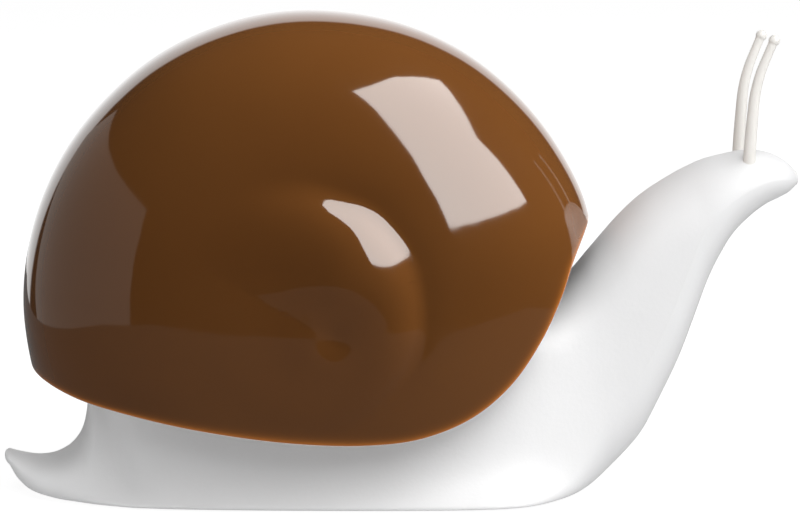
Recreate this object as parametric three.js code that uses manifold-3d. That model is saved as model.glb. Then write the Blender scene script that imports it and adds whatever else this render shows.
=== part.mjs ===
// Snail-shaped press dispenser for liquid soap. Millimetres, +Z up.
// The snail stands on z = 0 with its head towards +X, and it is symmetric about the XZ plane.
// Pressing the shell drives a pump in the tank under it, and soap runs through a hose to the mouth.

import * as THREE from 'three';
import { mergeVertices } from 'three/addons/utils/BufferGeometryUtils.js';
import Module from 'manifold-3d';

const wasm = await Module();
wasm.setup();

// ---------------------------------------------------------------- driving dimensions

const HALF_LENGTH = 105;
const GAP = 0.3; // play between two pieces that touch

const SHELL_CENTRE = { x: -26, z: 57 };
const SHELL_HALF_WIDTH = 48;
const SHELL_SQUARENESS = 2.4; // exponent of the cross-section, 2 is an ellipse
const SHELL_WALL = 2.5;

const BODY_WALL = 2.5;
const BODY_FLOOR_Z = 0.6;
const DECK_Z = 47; // top of the well that holds the tank
const FOOT_FLARE_HEIGHT = 6;

const PUMP_X = -26; // the pump stands upright in the XZ plane
const SCREW_RADIUS = 1.15;
const SCREW_HOLE_RADIUS = SCREW_RADIUS + GAP;

const TANK = {
  x: PUMP_X, halfLength: 44, halfWidth: 20, squareness: 2.6, bottom: 3.6, top: 44.5, wall: 1.5,
};
const TANK_NECK = { radius: 12.5, bore: 10.7, top: 57 };

const PLATE = { x: -25, halfLength: 57, halfWidth: 24, squareness: 2.5, bottom: 1.1, top: 3.1 };
const PAD = { radius: 5, top: 1.4 };
const PAD_PLACES = [[-62, 12], [-62, -12], [12, 13], [12, -13]];
const BASE_SCREW_PLACES = [[-71, 11], [-71, -11], [22, 12], [22, -12]];
const BOSS = { radius: 3.5, top: 16, ribHalfThickness: 1 };

const CARRIER = { bottom: 92.3, top: 94.8, halfLength: 44, halfWidth: 22 };
const LEG = { inner: 27.9, outer: 30.6, halfLength: 8, bottom: 34 };
const CARRIER_SCREW_PLACES = [[-56, 10], [-56, -10], [4, 10], [4, -10]];
const POST_RADIUS = 4;

const HOSE = { radius: 3.4, bore: 2.55 };
const BARB = { radius: 2.25, bore: 1.3 };
const OUTLET_Z = 87; // height of the actuator's side outlet

// The mouth: a slanted hole under the snout, and the elbow above it that leads back to the hose.
const MOUTH = { x: 94.2, z: 74.2, outX: 0.58, outZ: -0.8146, rimRadius: 4.2, shankRadius: 3, depth: 6 };
const MOUTH_BARB = { alongX: -0.902, alongZ: -0.431, length: 9 };

const TENTACLE_SPREAD = { root: 7.4, tip: 8.6 };

// ---------------------------------------------------------------- outlines

// Side outline of the shell as a whole egg, before it is cut open below: x, z.
const SHELL_OUTLINE = [
  [48, 75.8], [39.7, 92.5], [28.2, 106.3], [14.2, 117], [-3.6, 124.3], [-26.5, 126.9], [-45.7, 123.7],
  [-64.7, 114.9], [-80.8, 100.6], [-91.6, 84.6], [-98, 65.9], [-99.2, 46], [-93, 22], [-76, 1],
  [-50, -11.5], [-20, -12.5], [8, -6], [30, 11], [44, 36], [49.4, 60],
];

// The edge that the shell is cut along, front to back: x, z. Its ends lie outside the shell.
const RIM_LINE = [
  [52, 82], [48, 74.3], [45.4, 71.2], [41.6, 65], [37.9, 55.8], [32.3, 44.9], [24.3, 34.2], [13.8, 26.4],
  [0.7, 22], [-13.3, 21], [-29.8, 21.9], [-54.7, 25.3], [-72.2, 28.6], [-85, 31.4], [-94, 34.4],
  [-98.2, 36.2], [-110, 40.5],
];

// Cross-sections of the snail's body from tail to head. Each lies in a plane through its low and high
// points: low x, z, high x, z, half-width above, half-width at the foot, rounding low, rounding high.
const BODY_SECTIONS = [
  [-103.8, 8.4, -102.8, 11.9, 5, 5, 6, 6],
  [-101.6, 4.7, -99, 10.9, 8, 8, 8, 8],
  [-98.2, 2.3, -95, 10.2, 10.5, 11, 7, 9],
  [-92, 1, -90.8, 10.8, 12, 14, 5, 9],
  [-86, 0.8, -87, 13.2, 13, 17, 3.5, 9],
  [-81, 0.7, -84.6, 16.8, 13.6, 19.3, 2.5, 8],
  [-77, 0.7, -83.4, 22, 14.2, 21, 2, 7],
  [-73, 0.65, -83, 32, 14.8, 22.3, 1.5, 6],
  [-70, BODY_FLOOR_Z, -83, DECK_Z, 16.2, 23.2, 1.5, 6],
  [-67, BODY_FLOOR_Z, -80, DECK_Z, 18.5, 23.9, 1.5, 6],
  [-62, BODY_FLOOR_Z, -72, DECK_Z, 21, 25, 1.5, 7],
  [-52, BODY_FLOOR_Z, -57, DECK_Z, 23.5, 26.8, 1.5, 7],
  [-36, BODY_FLOOR_Z, -38, DECK_Z, 25.2, 29, 1.5, 8],
  [-18, BODY_FLOOR_Z, -18, DECK_Z, 26.2, 31, 1.5, 8],
  [0, BODY_FLOOR_Z, 0, DECK_Z, 26.5, 32.5, 1.5, 8],
  [12, BODY_FLOOR_Z, 10, DECK_Z, 26.2, 33, 1.5, 8],
  [22, BODY_FLOOR_Z, 18, DECK_Z, 25.4, 32.6, 1.5, 8],
  [30, BODY_FLOOR_Z, 25, DECK_Z, 24, 30.4, 1.5, 9],
  [36.5, BODY_FLOOR_Z, 31, DECK_Z + 0.4, 22, 26.4, 2.5, 10],
  [43.6, 0.9, 36, 49.4, 19.6, 21, 5, 12],
  [49.1, 2, 40.5, 53, 17.8, 18, 10, 14],
  [53.7, 4.2, 44.2, 56.8, 16.6, 16.6, 15, 15],
  [58.5, 8.6, 48.4, 61.9, 15.8, 15.8, 16, 16],
  [63.2, 14.2, 52.7, 67, 15.4, 15.4, 16, 16],
  [68.1, 23.6, 57.4, 72.3, 15.1, 15.1, 15, 15],
  [73.1, 34.2, 62.8, 77.4, 14.9, 14.9, 15, 15],
  [77.2, 45.3, 68.8, 81.5, 14.7, 14.7, 15, 15],
  [80.7, 55.1, 74.9, 84.9, 14.5, 14.5, 15, 15],
  [83.6, 61.4, 80, 87.1, 14.2, 14.2, 14, 14],
  [87.2, 67.4, 85, 88.3, 13.6, 13.6, 13, 13],
  [91.6, 71.9, 90.2, 89.3, 12.6, 12.6, 12, 12],
  [95.8, 75, 95, 89.2, 11.1, 11.1, 11, 11],
  [99.6, 76.8, 99.2, 87.9, 9, 9, 9, 9],
  [102.6, 78.4, 102.3, 85.9, 6.3, 6.3, 7, 7],
  [104.4, 80, 104.2, 83.9, 3.4, 3.4, 4, 4],
];
const TAIL_TIP = [-HALF_LENGTH, 0, 11.4];
const SNOUT_TIP = [HALF_LENGTH, 0, 81.8];
const HOLLOW_SECTIONS = [5, 32]; // first and one past the last section that is hollow

// Route of the hose in the XZ plane, from the actuator's outlet to the mouth's barb: x, z.
const HOSE_ROUTE = [
  [-14.2, OUTLET_Z], [-8.5, OUTLET_Z], [-2, 86], [5.5, 81.5], [11, 73.5], [15.2, 63], [19.5, 52.5],
  [25.2, 43.8], [34.5, 38.5], [45, 39.6], [55, 46.8], [63.5, 56.5], [70.2, 65.2], [75.6, 70.8],
  [81.5, 74.7], [87.1, 77.4],
];

// Middle line of a tentacle: x, z, radius.
const TENTACLE_LINE = [
  [90.6, 82, 1.65], [90.6, 87, 1.65], [90.8, 92, 1.6], [91.2, 98.5, 1.5], [91.8, 105, 1.4],
  [93.1, 110.5, 1.3], [94.8, 115, 1.2], [96.2, 118.4, 1.2],
];
const TENTACLE_BALL = { x: 96.5, z: 119, radius: 1.75 };

// ---------------------------------------------------------------- helpers

/** The solid that a closed geometry bounds. */
function solidOf(geometry) {
  const bare = geometry.clone();
  bare.deleteAttribute('normal');
  bare.deleteAttribute('uv');
  const welded = mergeVertices(bare, 1e-4);
  return new wasm.Manifold(new wasm.Mesh({
    numProp: 3,
    vertProperties: welded.attributes.position.array,
    triVerts: Uint32Array.from(welded.index.array),
  }));
}

/** The geometry of a solid, ready for a mesh. */
function geometryOf(solid) {
  const { vertProperties, triVerts } = solid.getMesh();
  const geometry = new THREE.BufferGeometry();
  geometry.setAttribute('position', new THREE.BufferAttribute(vertProperties, 3));
  geometry.setIndex(new THREE.BufferAttribute(triVerts, 1));
  geometry.computeVertexNormals();
  return geometry;
}

/** A solid of revolution about an upright axis. The profile is a closed loop of r, z points. */
function turned(profile, { x = PUMP_X, y = 0, sides = 20 } = {}) {
  let loop = profile.map(([r, z]) => new THREE.Vector2(r, z));
  if (THREE.ShapeUtils.area(loop) < 0) loop.reverse();
  const axisAt = loop.findIndex((p, i) => p.x === 0 && loop.at(i - 1).x === 0);
  if (axisAt >= 0) loop = [...loop.slice(axisAt), ...loop.slice(0, axisAt)];
  else loop.push(loop[0].clone());
  return solidOf(new THREE.LatheGeometry(loop, sides).rotateX(Math.PI / 2).translate(x, y, 0));
}

/** An upright cylinder. */
function post(x, y, radius, bottom, top, sides = 16) {
  return turned([[0, bottom], [radius, bottom], [radius, top], [0, top]], { x, y, sides });
}

/** A plain box between two corners. */
function block([x0, y0, z0], [x1, y1, z1]) {
  const box = new THREE.BoxGeometry(x1 - x0, y1 - y0, z1 - z0);
  return solidOf(box.translate((x0 + x1) / 2, (y0 + y1) / 2, (z0 + z1) / 2));
}

/** A plan outline extruded upwards. */
function uprightPrism(points, bottom, top) {
  const shape = new THREE.Shape(points.map(([x, y]) => new THREE.Vector2(x, y)));
  const prism = new THREE.ExtrudeGeometry(shape, { depth: top - bottom, bevelEnabled: false });
  return solidOf(prism.translate(0, 0, bottom));
}

/** A side outline of x, z points extruded to both sides of the XZ plane. */
function sideSlab(points, halfWidth) {
  const shape = new THREE.Shape(points.map(([x, z]) => new THREE.Vector2(x, z)));
  const slab = new THREE.ExtrudeGeometry(shape, { depth: 2 * halfWidth, bevelEnabled: false });
  return solidOf(slab.rotateX(Math.PI / 2).translate(0, halfWidth, 0));
}

/** Points of a squarish oval in plan. */
function ovalPoints({ x, halfLength, halfWidth, squareness }, grow = 0, count = 44) {
  const points = [];
  for (let i = 0; i < count; i++) {
    const angle = (2 * Math.PI * i) / count;
    const [c, s] = [Math.cos(angle), Math.sin(angle)];
    const along = Math.sign(c) * Math.abs(c) ** (2 / squareness);
    const across = Math.sign(s) * Math.abs(s) ** (2 / squareness);
    points.push([x + (halfLength + grow) * along, (halfWidth + grow) * across]);
  }
  return points;
}

/** An upright prism on a squarish oval. */
function ovalPrism(oval, bottom, top, grow = 0) {
  return uprightPrism(ovalPoints(oval, grow), bottom, top);
}

/** A closed skin over rings with equal numbers of points, drawn to a tip at each end. */
function skin(rings, firstTip, lastTip) {
  const count = rings[0].length;
  const positions = [...rings.flat(2), ...firstTip, ...lastTip];
  const first = rings.length * count;
  const last = first + 1;
  const triangles = [];
  for (let j = 0; j < count; j++) {
    const next = (j + 1) % count;
    triangles.push(first, next, j);
    triangles.push(last, first - count + j, first - count + next);
    for (let i = 0; i + 1 < rings.length; i++) {
      const [a, b] = [i * count + j, i * count + next];
      triangles.push(a, b, b + count, a, b + count, a + count);
    }
  }
  const geometry = new THREE.BufferGeometry();
  geometry.setAttribute('position', new THREE.Float32BufferAttribute(positions, 3));
  geometry.setIndex(signedVolume(positions, triangles) < 0 ? triangles.reverse() : triangles);
  return solidOf(geometry);
}

/** Volume inside triangles, negative when they face inwards. */
function signedVolume(positions, triangles) {
  const at = index => new THREE.Vector3().fromArray(positions, 3 * index);
  let volume = 0;
  for (let i = 0; i < triangles.length; i += 3) {
    volume += at(triangles[i]).dot(at(triangles[i + 1]).cross(at(triangles[i + 2]))) / 6;
  }
  return volume;
}

/** A round bar along a line of points, with a radius at each. acrossAt gives a vector off the line. */
function roundBar(line, radii, sides, acrossAt = () => new THREE.Vector3(0, 1, 0)) {
  const rings = line.map((point, i) => {
    const ahead = line[Math.min(i + 1, line.length - 1)];
    const behind = line[Math.max(i - 1, 0)];
    const along = new THREE.Vector3().subVectors(ahead, behind).normalize();
    const up = new THREE.Vector3().crossVectors(along, acrossAt(point)).normalize();
    const across = new THREE.Vector3().crossVectors(up, along);
    return Array.from({ length: sides }, (_, j) => {
      const angle = (2 * Math.PI * j) / sides;
      const spot = point.clone().addScaledVector(across, radii[i] * Math.cos(angle));
      return spot.addScaledVector(up, radii[i] * Math.sin(angle)).toArray();
    });
  });
  return skin(rings, line[0].toArray(), line.at(-1).toArray());
}

/** Points along a smooth curve in a plane beside the XZ plane. */
function smoothLine(points, steps, y = 0) {
  const curve = new THREE.CatmullRomCurve3(points.map(([x, z]) => new THREE.Vector3(x, y, z)));
  return curve.getSpacedPoints(steps);
}

/** A straight round bar between two points of the XZ plane. */
function straightBar([x0, z0], [x1, z1], radius, sides = 16) {
  const ends = [new THREE.Vector3(x0, 0, z0), new THREE.Vector3(x1, 0, z1)];
  return roundBar(ends, [radius, radius], sides);
}

/** All the solids joined into one. */
function joined(...solids) {
  return solids.reduce((whole, solid) => whole.add(solid));
}

/** The first solid with all the others cut out of it. */
function cut(solid, ...tools) {
  return tools.reduce((left, tool) => left.subtract(tool), solid);
}

// ---------------------------------------------------------------- shell

/** The shell's egg as a solid, drawn in by an inset. */
function shellEgg(inset, around, slices) {
  const outline = new THREE.CatmullRomCurve3(
    SHELL_OUTLINE.map(([x, z]) => new THREE.Vector3(x, 0, z)), true, 'centripetal');
  const rim = outline.getSpacedPoints(around).slice(0, -1);
  const rings = [];
  for (let k = 1; k < slices; k++) {
    const angle = (Math.PI * k) / slices;
    const spread = Math.sin(angle) ** (2 / SHELL_SQUARENESS);
    const side = Math.sign(Math.cos(angle)) * Math.abs(Math.cos(angle)) ** (2 / SHELL_SQUARENESS);
    rings.push(rim.map(point => {
      const [dx, dz] = [point.x - SHELL_CENTRE.x, point.z - SHELL_CENTRE.z];
      const reach = spread * (1 - inset / Math.hypot(dx, dz));
      const across = side * (SHELL_HALF_WIDTH - inset);
      return [SHELL_CENTRE.x + dx * reach, across, SHELL_CENTRE.z + dz * reach];
    }));
  }
  const tip = side => [SHELL_CENTRE.x, side * (SHELL_HALF_WIDTH - inset), SHELL_CENTRE.z];
  return skin(rings, tip(1), tip(-1));
}

/** Everything below the line that the shell is cut along. */
function belowRim() {
  const edge = smoothLine(RIM_LINE, 40).map(point => [point.x, point.z]);
  return sideSlab([...edge, [-110, -40], [60, -40], [60, 92]], SHELL_HALF_WIDTH + 10);
}

/** Glossy cap in the form of a snail's shell, with four screw posts hanging from its roof. */
function shellCover() {
  const egg = shellEgg(0, 56, 16);
  const posts = joined(...CARRIER_SCREW_PLACES.map(
    ([x, y]) => post(x, y, POST_RADIUS, CARRIER.top + GAP, 140, 16)));
  const holes = CARRIER_SCREW_PLACES.map(
    ([x, y]) => post(x, y, SCREW_HOLE_RADIUS, CARRIER.top, 108, 12));
  const wall = cut(egg, shellEgg(SHELL_WALL, 36, 12), belowRim());
  return cut(joined(wall, posts.intersect(egg)), ...holes);
}

/** Plate screwed to the shell's posts. It sits on the pump's actuator, and two legs guide it. */
function shellCarrier() {
  const { bottom, top } = CARRIER;
  const plate = ovalPrism({ x: PUMP_X, squareness: 2, ...CARRIER }, bottom, top);
  const [rear, front] = [PUMP_X - LEG.halfLength, PUMP_X + LEG.halfLength];
  const bar = block([rear - 1, -LEG.outer, bottom], [front + 1, LEG.outer, top]);
  const leg = side => block(
    [rear, Math.min(LEG.inner * side, LEG.outer * side), LEG.bottom],
    [front, Math.max(LEG.inner * side, LEG.outer * side), top]);
  const collar = turned([[11.4, 90.6], [13.4, 90.6], [13.4, bottom + 1], [11.4, bottom + 1]]);
  const windows = [-1, 1].map(side => block(
    [PUMP_X + side * 30 - 5, -4, bottom - 1], [PUMP_X + side * 30 + 5, 4, top + 1]));
  const holes = CARRIER_SCREW_PLACES.map(
    ([x, y]) => post(x, y, SCREW_HOLE_RADIUS, bottom - 1, top + 1, 12));
  return cut(joined(plate, bar, leg(1), leg(-1), collar), ...windows, ...holes);
}

/** Pan-head screw pointing up, its head's underside at the given height. */
function screw(x, y, seat, length, headHeight = 1.2) {
  const profile = [
    [0, seat - headHeight], [1.9, seat - headHeight], [2.6, seat - 0.5 * headHeight], [2.6, seat],
    [SCREW_RADIUS, seat], [SCREW_RADIUS, seat + length - 1], [0, seat + length],
  ];
  return turned(profile, { x, y, sides: 10 });
}

// ---------------------------------------------------------------- body

/** Low or high line of the body moved inwards by a distance. turn is 1 for low, -1 for high. */
function insetLine(line, distance, turn) {
  return line.map(([x, z], i) => {
    const [ahead, behind] = [line[Math.min(i + 1, line.length - 1)], line[Math.max(i - 1, 0)]];
    const [tx, tz] = [ahead[0] - behind[0], ahead[1] - behind[1]];
    const size = Math.hypot(tx, tz);
    return [x - (turn * distance * tz) / size, z + (turn * distance * tx) / size];
  });
}

/** How far a corner of the given size draws the section in, at a height above or below its end. */
function cornerInset(across, up, height) {
  if (height >= up) return 0;
  return across * (1 - Math.sqrt(Math.max(0, 1 - ((up - height) / up) ** 2)));
}

/** One cross-section of the body as a ring of points. raised is its low point's height over the foot. */
function bodyRing(low, high, upper, foot, roundLow, roundHigh, raised = 0) {
  const height = Math.hypot(high[0] - low[0], high[1] - low[1]);
  const widthAt = h => upper + (foot - upper) * Math.exp(-(((h + raised) / FOOT_FLARE_HEIGHT) ** 1.3));
  const [upLow, upHigh] = [roundLow, roundHigh].map(r => Math.min(r, height / 2 - 0.02));
  const acrossLow = Math.min(roundLow, widthAt(0) - 0.5);
  const acrossHigh = Math.min(roundHigh, widthAt(height) - 0.5);
  const arc = [0, 0.25, 0.5, 0.75, 1].map(part => (part * Math.PI) / 2);
  const heights = [
    ...arc.map(angle => upLow * (1 - Math.cos(angle))),
    ...[1, 2].map(third => upLow + ((height - upHigh - upLow) * third) / 3),
    ...arc.map(angle => height - upHigh * (1 - Math.sin(angle))),
  ];
  const half = heights.map(h => {
    const inset = cornerInset(acrossLow, upLow, h) + cornerInset(acrossHigh, upHigh, height - h);
    return [h, widthAt(h) - inset];
  });
  const side = [[0, 0], ...half, [height, 0]];
  const mirrored = half.map(([h, y]) => [h, -y]).reverse();
  return [...side, ...mirrored].map(([h, y]) => [
    low[0] + ((high[0] - low[0]) * h) / height, y, low[1] + ((high[1] - low[1]) * h) / height,
  ]);
}

/** The outside of the body as a solid. */
function bodyOutside() {
  const rings = BODY_SECTIONS.map(([lx, lz, hx, hz, ...rest]) => bodyRing([lx, lz], [hx, hz], ...rest));
  return skin(rings, TAIL_TIP, SNOUT_TIP);
}

/** The hollow inside the body as a solid. */
function bodyHollow() {
  const low = insetLine(BODY_SECTIONS.map(([x, z]) => [x, z]), BODY_WALL, 1);
  const high = insetLine(BODY_SECTIONS.map(section => [section[2], section[3]]), BODY_WALL, -1);
  const rings = BODY_SECTIONS.map(([, , , , upper, foot, roundLow, roundHigh], i) => bodyRing(
    low[i], high[i], upper - BODY_WALL, foot - BODY_WALL,
    Math.max(roundLow - BODY_WALL, 0.5), Math.max(roundHigh - BODY_WALL, 0.5), BODY_WALL,
  )).slice(...HOLLOW_SECTIONS);
  const middle = ring => new THREE.Box3().setFromPoints(
    ring.map(point => new THREE.Vector3(...point))).getCenter(new THREE.Vector3()).toArray();
  return skin(rings, middle(rings[0]), middle(rings.at(-1)));
}

/** Screw bosses, each on a rib from the side wall. */
function screwBosses() {
  const bottom = PLATE.top + GAP;
  return joined(...BASE_SCREW_PLACES.map(([x, y]) => {
    const { radius, top, ribHalfThickness } = BOSS;
    const reach = 34 * Math.sign(y);
    const rib = block(
      [x - ribHalfThickness, Math.min(y, reach), bottom], [x + ribHalfThickness, Math.max(y, reach), top]);
    return joined(post(x, y, radius, bottom, top, 16), rib);
  }));
}

/** Two points on the mouth's axis, at the given distances outwards from the chin. */
function mouthLine(from, to) {
  return [from, to].map(out => [MOUTH.x + MOUTH.outX * out, MOUTH.z + MOUTH.outZ * out]);
}

/** Matt body of the snail: foot, tail, well for the tank, neck and head in one hollow moulding. */
function bodyShell() {
  const outside = bodyOutside();
  const wellMouth = { x: -24.5, halfLength: 55.5, halfWidth: 23.6, squareness: 2.6 };
  const openings = [
    ovalPrism(PLATE, -1, PLATE.top + 1, 0.4),
    ovalPrism(wellMouth, DECK_Z - 6, DECK_Z + 8),
    straightBar(...mouthLine(-MOUTH.depth, 8), MOUTH.shankRadius + GAP),
    straightBar(...mouthLine(-1.4, 8), MOUTH.rimRadius + GAP),
  ];
  const sockets = [-1, 1].map(side => roundBar(
    tentacleLine(side, [[90.6, 80], [90.6, 87], [91, 95]], 4),
    Array(5).fill(TENTACLE_LINE[0][2] + GAP), 12));
  const holes = BASE_SCREW_PLACES.map(([x, y]) => post(x, y, SCREW_HOLE_RADIUS, 0, 14, 12));
  const wall = cut(outside, bodyHollow());
  return cut(joined(wall, screwBosses().intersect(outside)), ...openings, ...sockets, ...holes);
}

/** Points along a tentacle's middle line, which leans outwards from root to tip. */
function tentacleLine(side, points, steps) {
  const [low, high] = [TENTACLE_LINE[0][1], TENTACLE_BALL.z];
  return smoothLine(points, steps).map(point => point.setY(side * THREE.MathUtils.lerp(
    TENTACLE_SPREAD.root, TENTACLE_SPREAD.tip, (point.z - low) / (high - low))));
}

/** Thin bent feeler with a small ball at its tip. side is 1 or -1. */
function tentacle(side) {
  const count = 10;
  const line = tentacleLine(side, TENTACLE_LINE, count);
  const radii = line.map((_, i) => THREE.MathUtils.lerp(
    TENTACLE_LINE[0][2], TENTACLE_LINE.at(-1)[2], i / count));
  const { x, z, radius } = TENTACLE_BALL;
  const sphere = new THREE.SphereGeometry(radius, 10, 7).rotateX(Math.PI / 2);
  const ball = solidOf(sphere.translate(x, side * TENTACLE_SPREAD.tip, z));
  return joined(roundBar(line, radii, 8), ball);
}

/** Plate that closes the foot, with four countersunk screw holes and four pad recesses. */
function basePlate() {
  const { bottom, top } = PLATE;
  const recesses = PAD_PLACES.map(([x, y]) => post(x, y, PAD.radius + GAP, 0, PAD.top + GAP));
  const holes = BASE_SCREW_PLACES.flatMap(([x, y]) => [
    post(x, y, SCREW_HOLE_RADIUS, 0, top + 1, 12), post(x, y, 2.9, 0, bottom + 1, 16)]);
  return cut(ovalPrism(PLATE, bottom, top), ...recesses, ...holes);
}

// ---------------------------------------------------------------- tank and pump

/** Two parts of a ring, in front of the pump's axis and behind it. */
function lugPair(inner, outer, bottom, top) {
  const ring = turned([[inner, bottom], [outer, bottom], [outer, top], [inner, top]], { sides: 28 });
  const [reach, half] = [outer + 1, outer * 0.5];
  return ring.intersect(cut(
    block([PUMP_X - reach, -half, bottom - 1], [PUMP_X + reach, half, top + 1]),
    block([PUMP_X - 2, -half - 1, bottom - 2], [PUMP_X + 2, half + 1, top + 2])));
}

/** Refillable tank with a round neck on top and two lugs for the collar. */
function tank() {
  const { bottom, top, wall } = TANK;
  const { radius, bore } = TANK_NECK;
  const outside = joined(
    ovalPrism(TANK, bottom, top),
    post(PUMP_X, 0, radius, top - 1, TANK_NECK.top, 28),
    lugPair(radius - 1, radius + 0.9, 50.5, 52.5));
  const inside = joined(
    ovalPrism(TANK, bottom + wall, top - wall, -wall),
    post(PUMP_X, 0, bore, top - wall - 1, TANK_NECK.top + 1, 28));
  return cut(outside, inside);
}

/** Collar that locks the pump onto the tank's neck with a quarter turn. */
function pumpCollar() {
  const grips = Array.from({ length: 12 }, (_, i) => {
    const angle = ((i + 0.5) * Math.PI) / 6;
    return post(PUMP_X + 17.2 * Math.cos(angle), 17.2 * Math.sin(angle), 1.4, 45, 60, 8);
  });
  const cup = turned([
    [14, 46], [16.5, 46], [16.5, 62.5], [15.5, 63.5], [10.2, 63.5], [10.2, 61.5], [14, 61.5],
  ], { sides: 28 });
  return cut(joined(cup, lugPair(12.9, 14.5, 47.5, 49.5)), ...grips);
}

/** Pump cylinder: flange on top, bore for the piston, seat for the inlet ball, socket for the dip tube. */
function pumpHousing() {
  return turned([
    [2.85, 10], [4.3, 10], [4.3, 18], [7.8, 23], [7.8, 59], [12.8, 59], [12.8, 61.2], [6.5, 61.2],
    [6.5, 24.5], [3, 24.5], [3, 18.2], [1.5, 18.2], [1.5, 17], [2.85, 17],
  ]);
}

/** Hollow stem that carries soap up to the actuator, with a flange that the spring pushes on. */
function pumpStem() {
  return turned([
    [2.3, 44.2], [5.6, 44.2], [5.6, 46.4], [4, 46.4], [4, 82], [2.3, 82],
  ]);
}

/** Sliding seal on the stem, with a lip at each end. */
function pumpPiston() {
  return turned([
    [4.35, 46.7], [6.1, 46.7], [6.3, 47], [6.3, 48.3], [5.7, 49.1], [5.7, 51], [6.3, 51.8], [6.3, 53.1],
    [6.1, 53.4], [4.35, 53.4],
  ]);
}

/** Guide bush that closes the cylinder round the stem. */
function pumpInsert() {
  return turned([
    [4.35, 54.2], [6.2, 54.2], [6.2, 61.5], [9.6, 61.5], [9.6, 63.2], [8.6, 63.8], [4.35, 63.8],
  ]);
}

/** Perforated stop above the inlet ball. */
function valveCage() {
  return turned([[1.7, 24.8], [6.2, 24.8], [6.2, 25.8], [1.7, 25.8]]);
}

/** Ball of a check valve. */
function valveBall(radius, z) {
  return solidOf(new THREE.SphereGeometry(radius, 12, 8).rotateX(Math.PI / 2).translate(PUMP_X, 0, z));
}

/** Coil spring with one closed turn at each end. */
function pumpSpring() {
  const { bottom, top, wire, radius, turns, closedPitch } = {
    bottom: 26.1, top: 43.9, wire: 0.5, radius: 5.2, turns: 6, closedPitch: 1.1,
  };
  const openPitch = (top - bottom - 2 * wire - 2 * closedPitch) / (turns - 2);
  const steps = turns * 10;
  const line = Array.from({ length: steps + 1 }, (_, i) => {
    const turn = (i * turns) / steps;
    const opened = THREE.MathUtils.clamp(turn - 1, 0, turns - 2);
    const rise = closedPitch * (turn - opened) + openPitch * opened;
    const angle = 2 * Math.PI * turn;
    return new THREE.Vector3(
      PUMP_X + radius * Math.cos(angle), radius * Math.sin(angle), bottom + wire + rise);
  });
  const outwards = point => new THREE.Vector3(point.x - PUMP_X, point.y, 0);
  return roundBar(line, Array(line.length).fill(wire), 5, outwards);
}

/** Cap that the shell presses on, with the outlet chamber and a barb for the hose. */
function actuator() {
  const outside = turned([
    [0, 75], [6.6, 75], [6.6, 89.2], [9.4, 89.2], [9.4, 76], [11, 76], [11, 91.2], [10.2, 92], [0, 92],
  ]);
  const barb = straightBar([PUMP_X + 5, OUTLET_Z], [PUMP_X + 17, OUTLET_Z], BARB.radius);
  const chamber = turned([[0, 74], [4.35, 74], [4.35, 82.3], [3.4, 82.3], [3.4, 88.4], [0, 88.4]]);
  const outlet = straightBar([PUMP_X, OUTLET_Z], [PUMP_X + 18, OUTLET_Z], BARB.bore);
  return cut(joined(outside, barb), chamber, outlet);
}

/** Tube from the pump down to the bottom of the tank. */
function dipTube() {
  return turned([[1.8, 7], [2.5, 7], [2.5, 16.7], [1.8, 16.7]], { sides: 16 });
}

/** Soft hose from the actuator to the mouth. */
function hose() {
  const [steps, sides] = [26, 10];
  const line = smoothLine(HOSE_ROUTE, steps);
  const outer = roundBar(line, Array(steps + 1).fill(HOSE.radius), sides);
  const longer = [
    line[0].clone().add(new THREE.Vector3(-2, 0, 0)), ...line,
    line.at(-1).clone().add(new THREE.Vector3(-2 * MOUTH_BARB.alongX, 0, -2 * MOUTH_BARB.alongZ)),
  ];
  return cut(outer, roundBar(longer, Array(steps + 3).fill(HOSE.bore), sides));
}

/** Elbow in the snout: a rim in the chin, a shank through it, and a barb for the hose. */
function mouthNozzle() {
  const [chin, elbow] = mouthLine(-0.4, -MOUTH.depth);
  const barbEnd = length => [
    elbow[0] + MOUTH_BARB.alongX * length, elbow[1] + MOUTH_BARB.alongZ * length];
  const knuckle = sphere => solidOf(sphere.translate(elbow[0], 0, elbow[1]));
  const outside = joined(
    straightBar(chin, elbow, MOUTH.shankRadius),
    straightBar(...mouthLine(-1.1, -0.2), MOUTH.rimRadius),
    knuckle(new THREE.SphereGeometry(MOUTH.shankRadius, 16, 10)),
    straightBar(elbow, barbEnd(MOUTH_BARB.length), BARB.radius));
  return cut(outside,
    straightBar(...mouthLine(1, -MOUTH.depth), BARB.bore),
    knuckle(new THREE.SphereGeometry(BARB.bore, 12, 8)),
    straightBar(elbow, barbEnd(MOUTH_BARB.length + 1), BARB.bore));
}

// ---------------------------------------------------------------- assembly

function plastic(color, roughness) {
  return new THREE.MeshStandardMaterial({ color, roughness, metalness: 0 });
}

function metal(color, roughness) {
  return new THREE.MeshStandardMaterial({ color, roughness, metalness: 1 });
}

const MATERIALS = {
  shell: plastic('#5a3319', 0.12),
  body: plastic('#e9e8e4', 0.6),
  tentacle: plastic('#ddd8cb', 0.55),
  white: plastic('#f1f1ee', 0.45),
  clear: plastic('#d6dcdd', 0.2),
  grey: plastic('#8f9497', 0.5),
  rubber: plastic('#3a3b3c', 0.85),
  silicone: plastic('#c9cdc9', 0.5),
  steel: metal('#b9bcc0', 0.3),
};

const snail = new THREE.Group();

function add(name, solid, material) {
  const mesh = new THREE.Mesh(geometryOf(solid), MATERIALS[material]);
  mesh.name = name;
  snail.add(mesh);
}

add('shell_cover', shellCover(), 'shell');
add('shell_carrier', shellCarrier(), 'white');
CARRIER_SCREW_PLACES.forEach(([x, y], i) => {
  add(`carrier_screw_${i + 1}`, screw(x, y, CARRIER.bottom - GAP, 13), 'steel');
});

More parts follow.
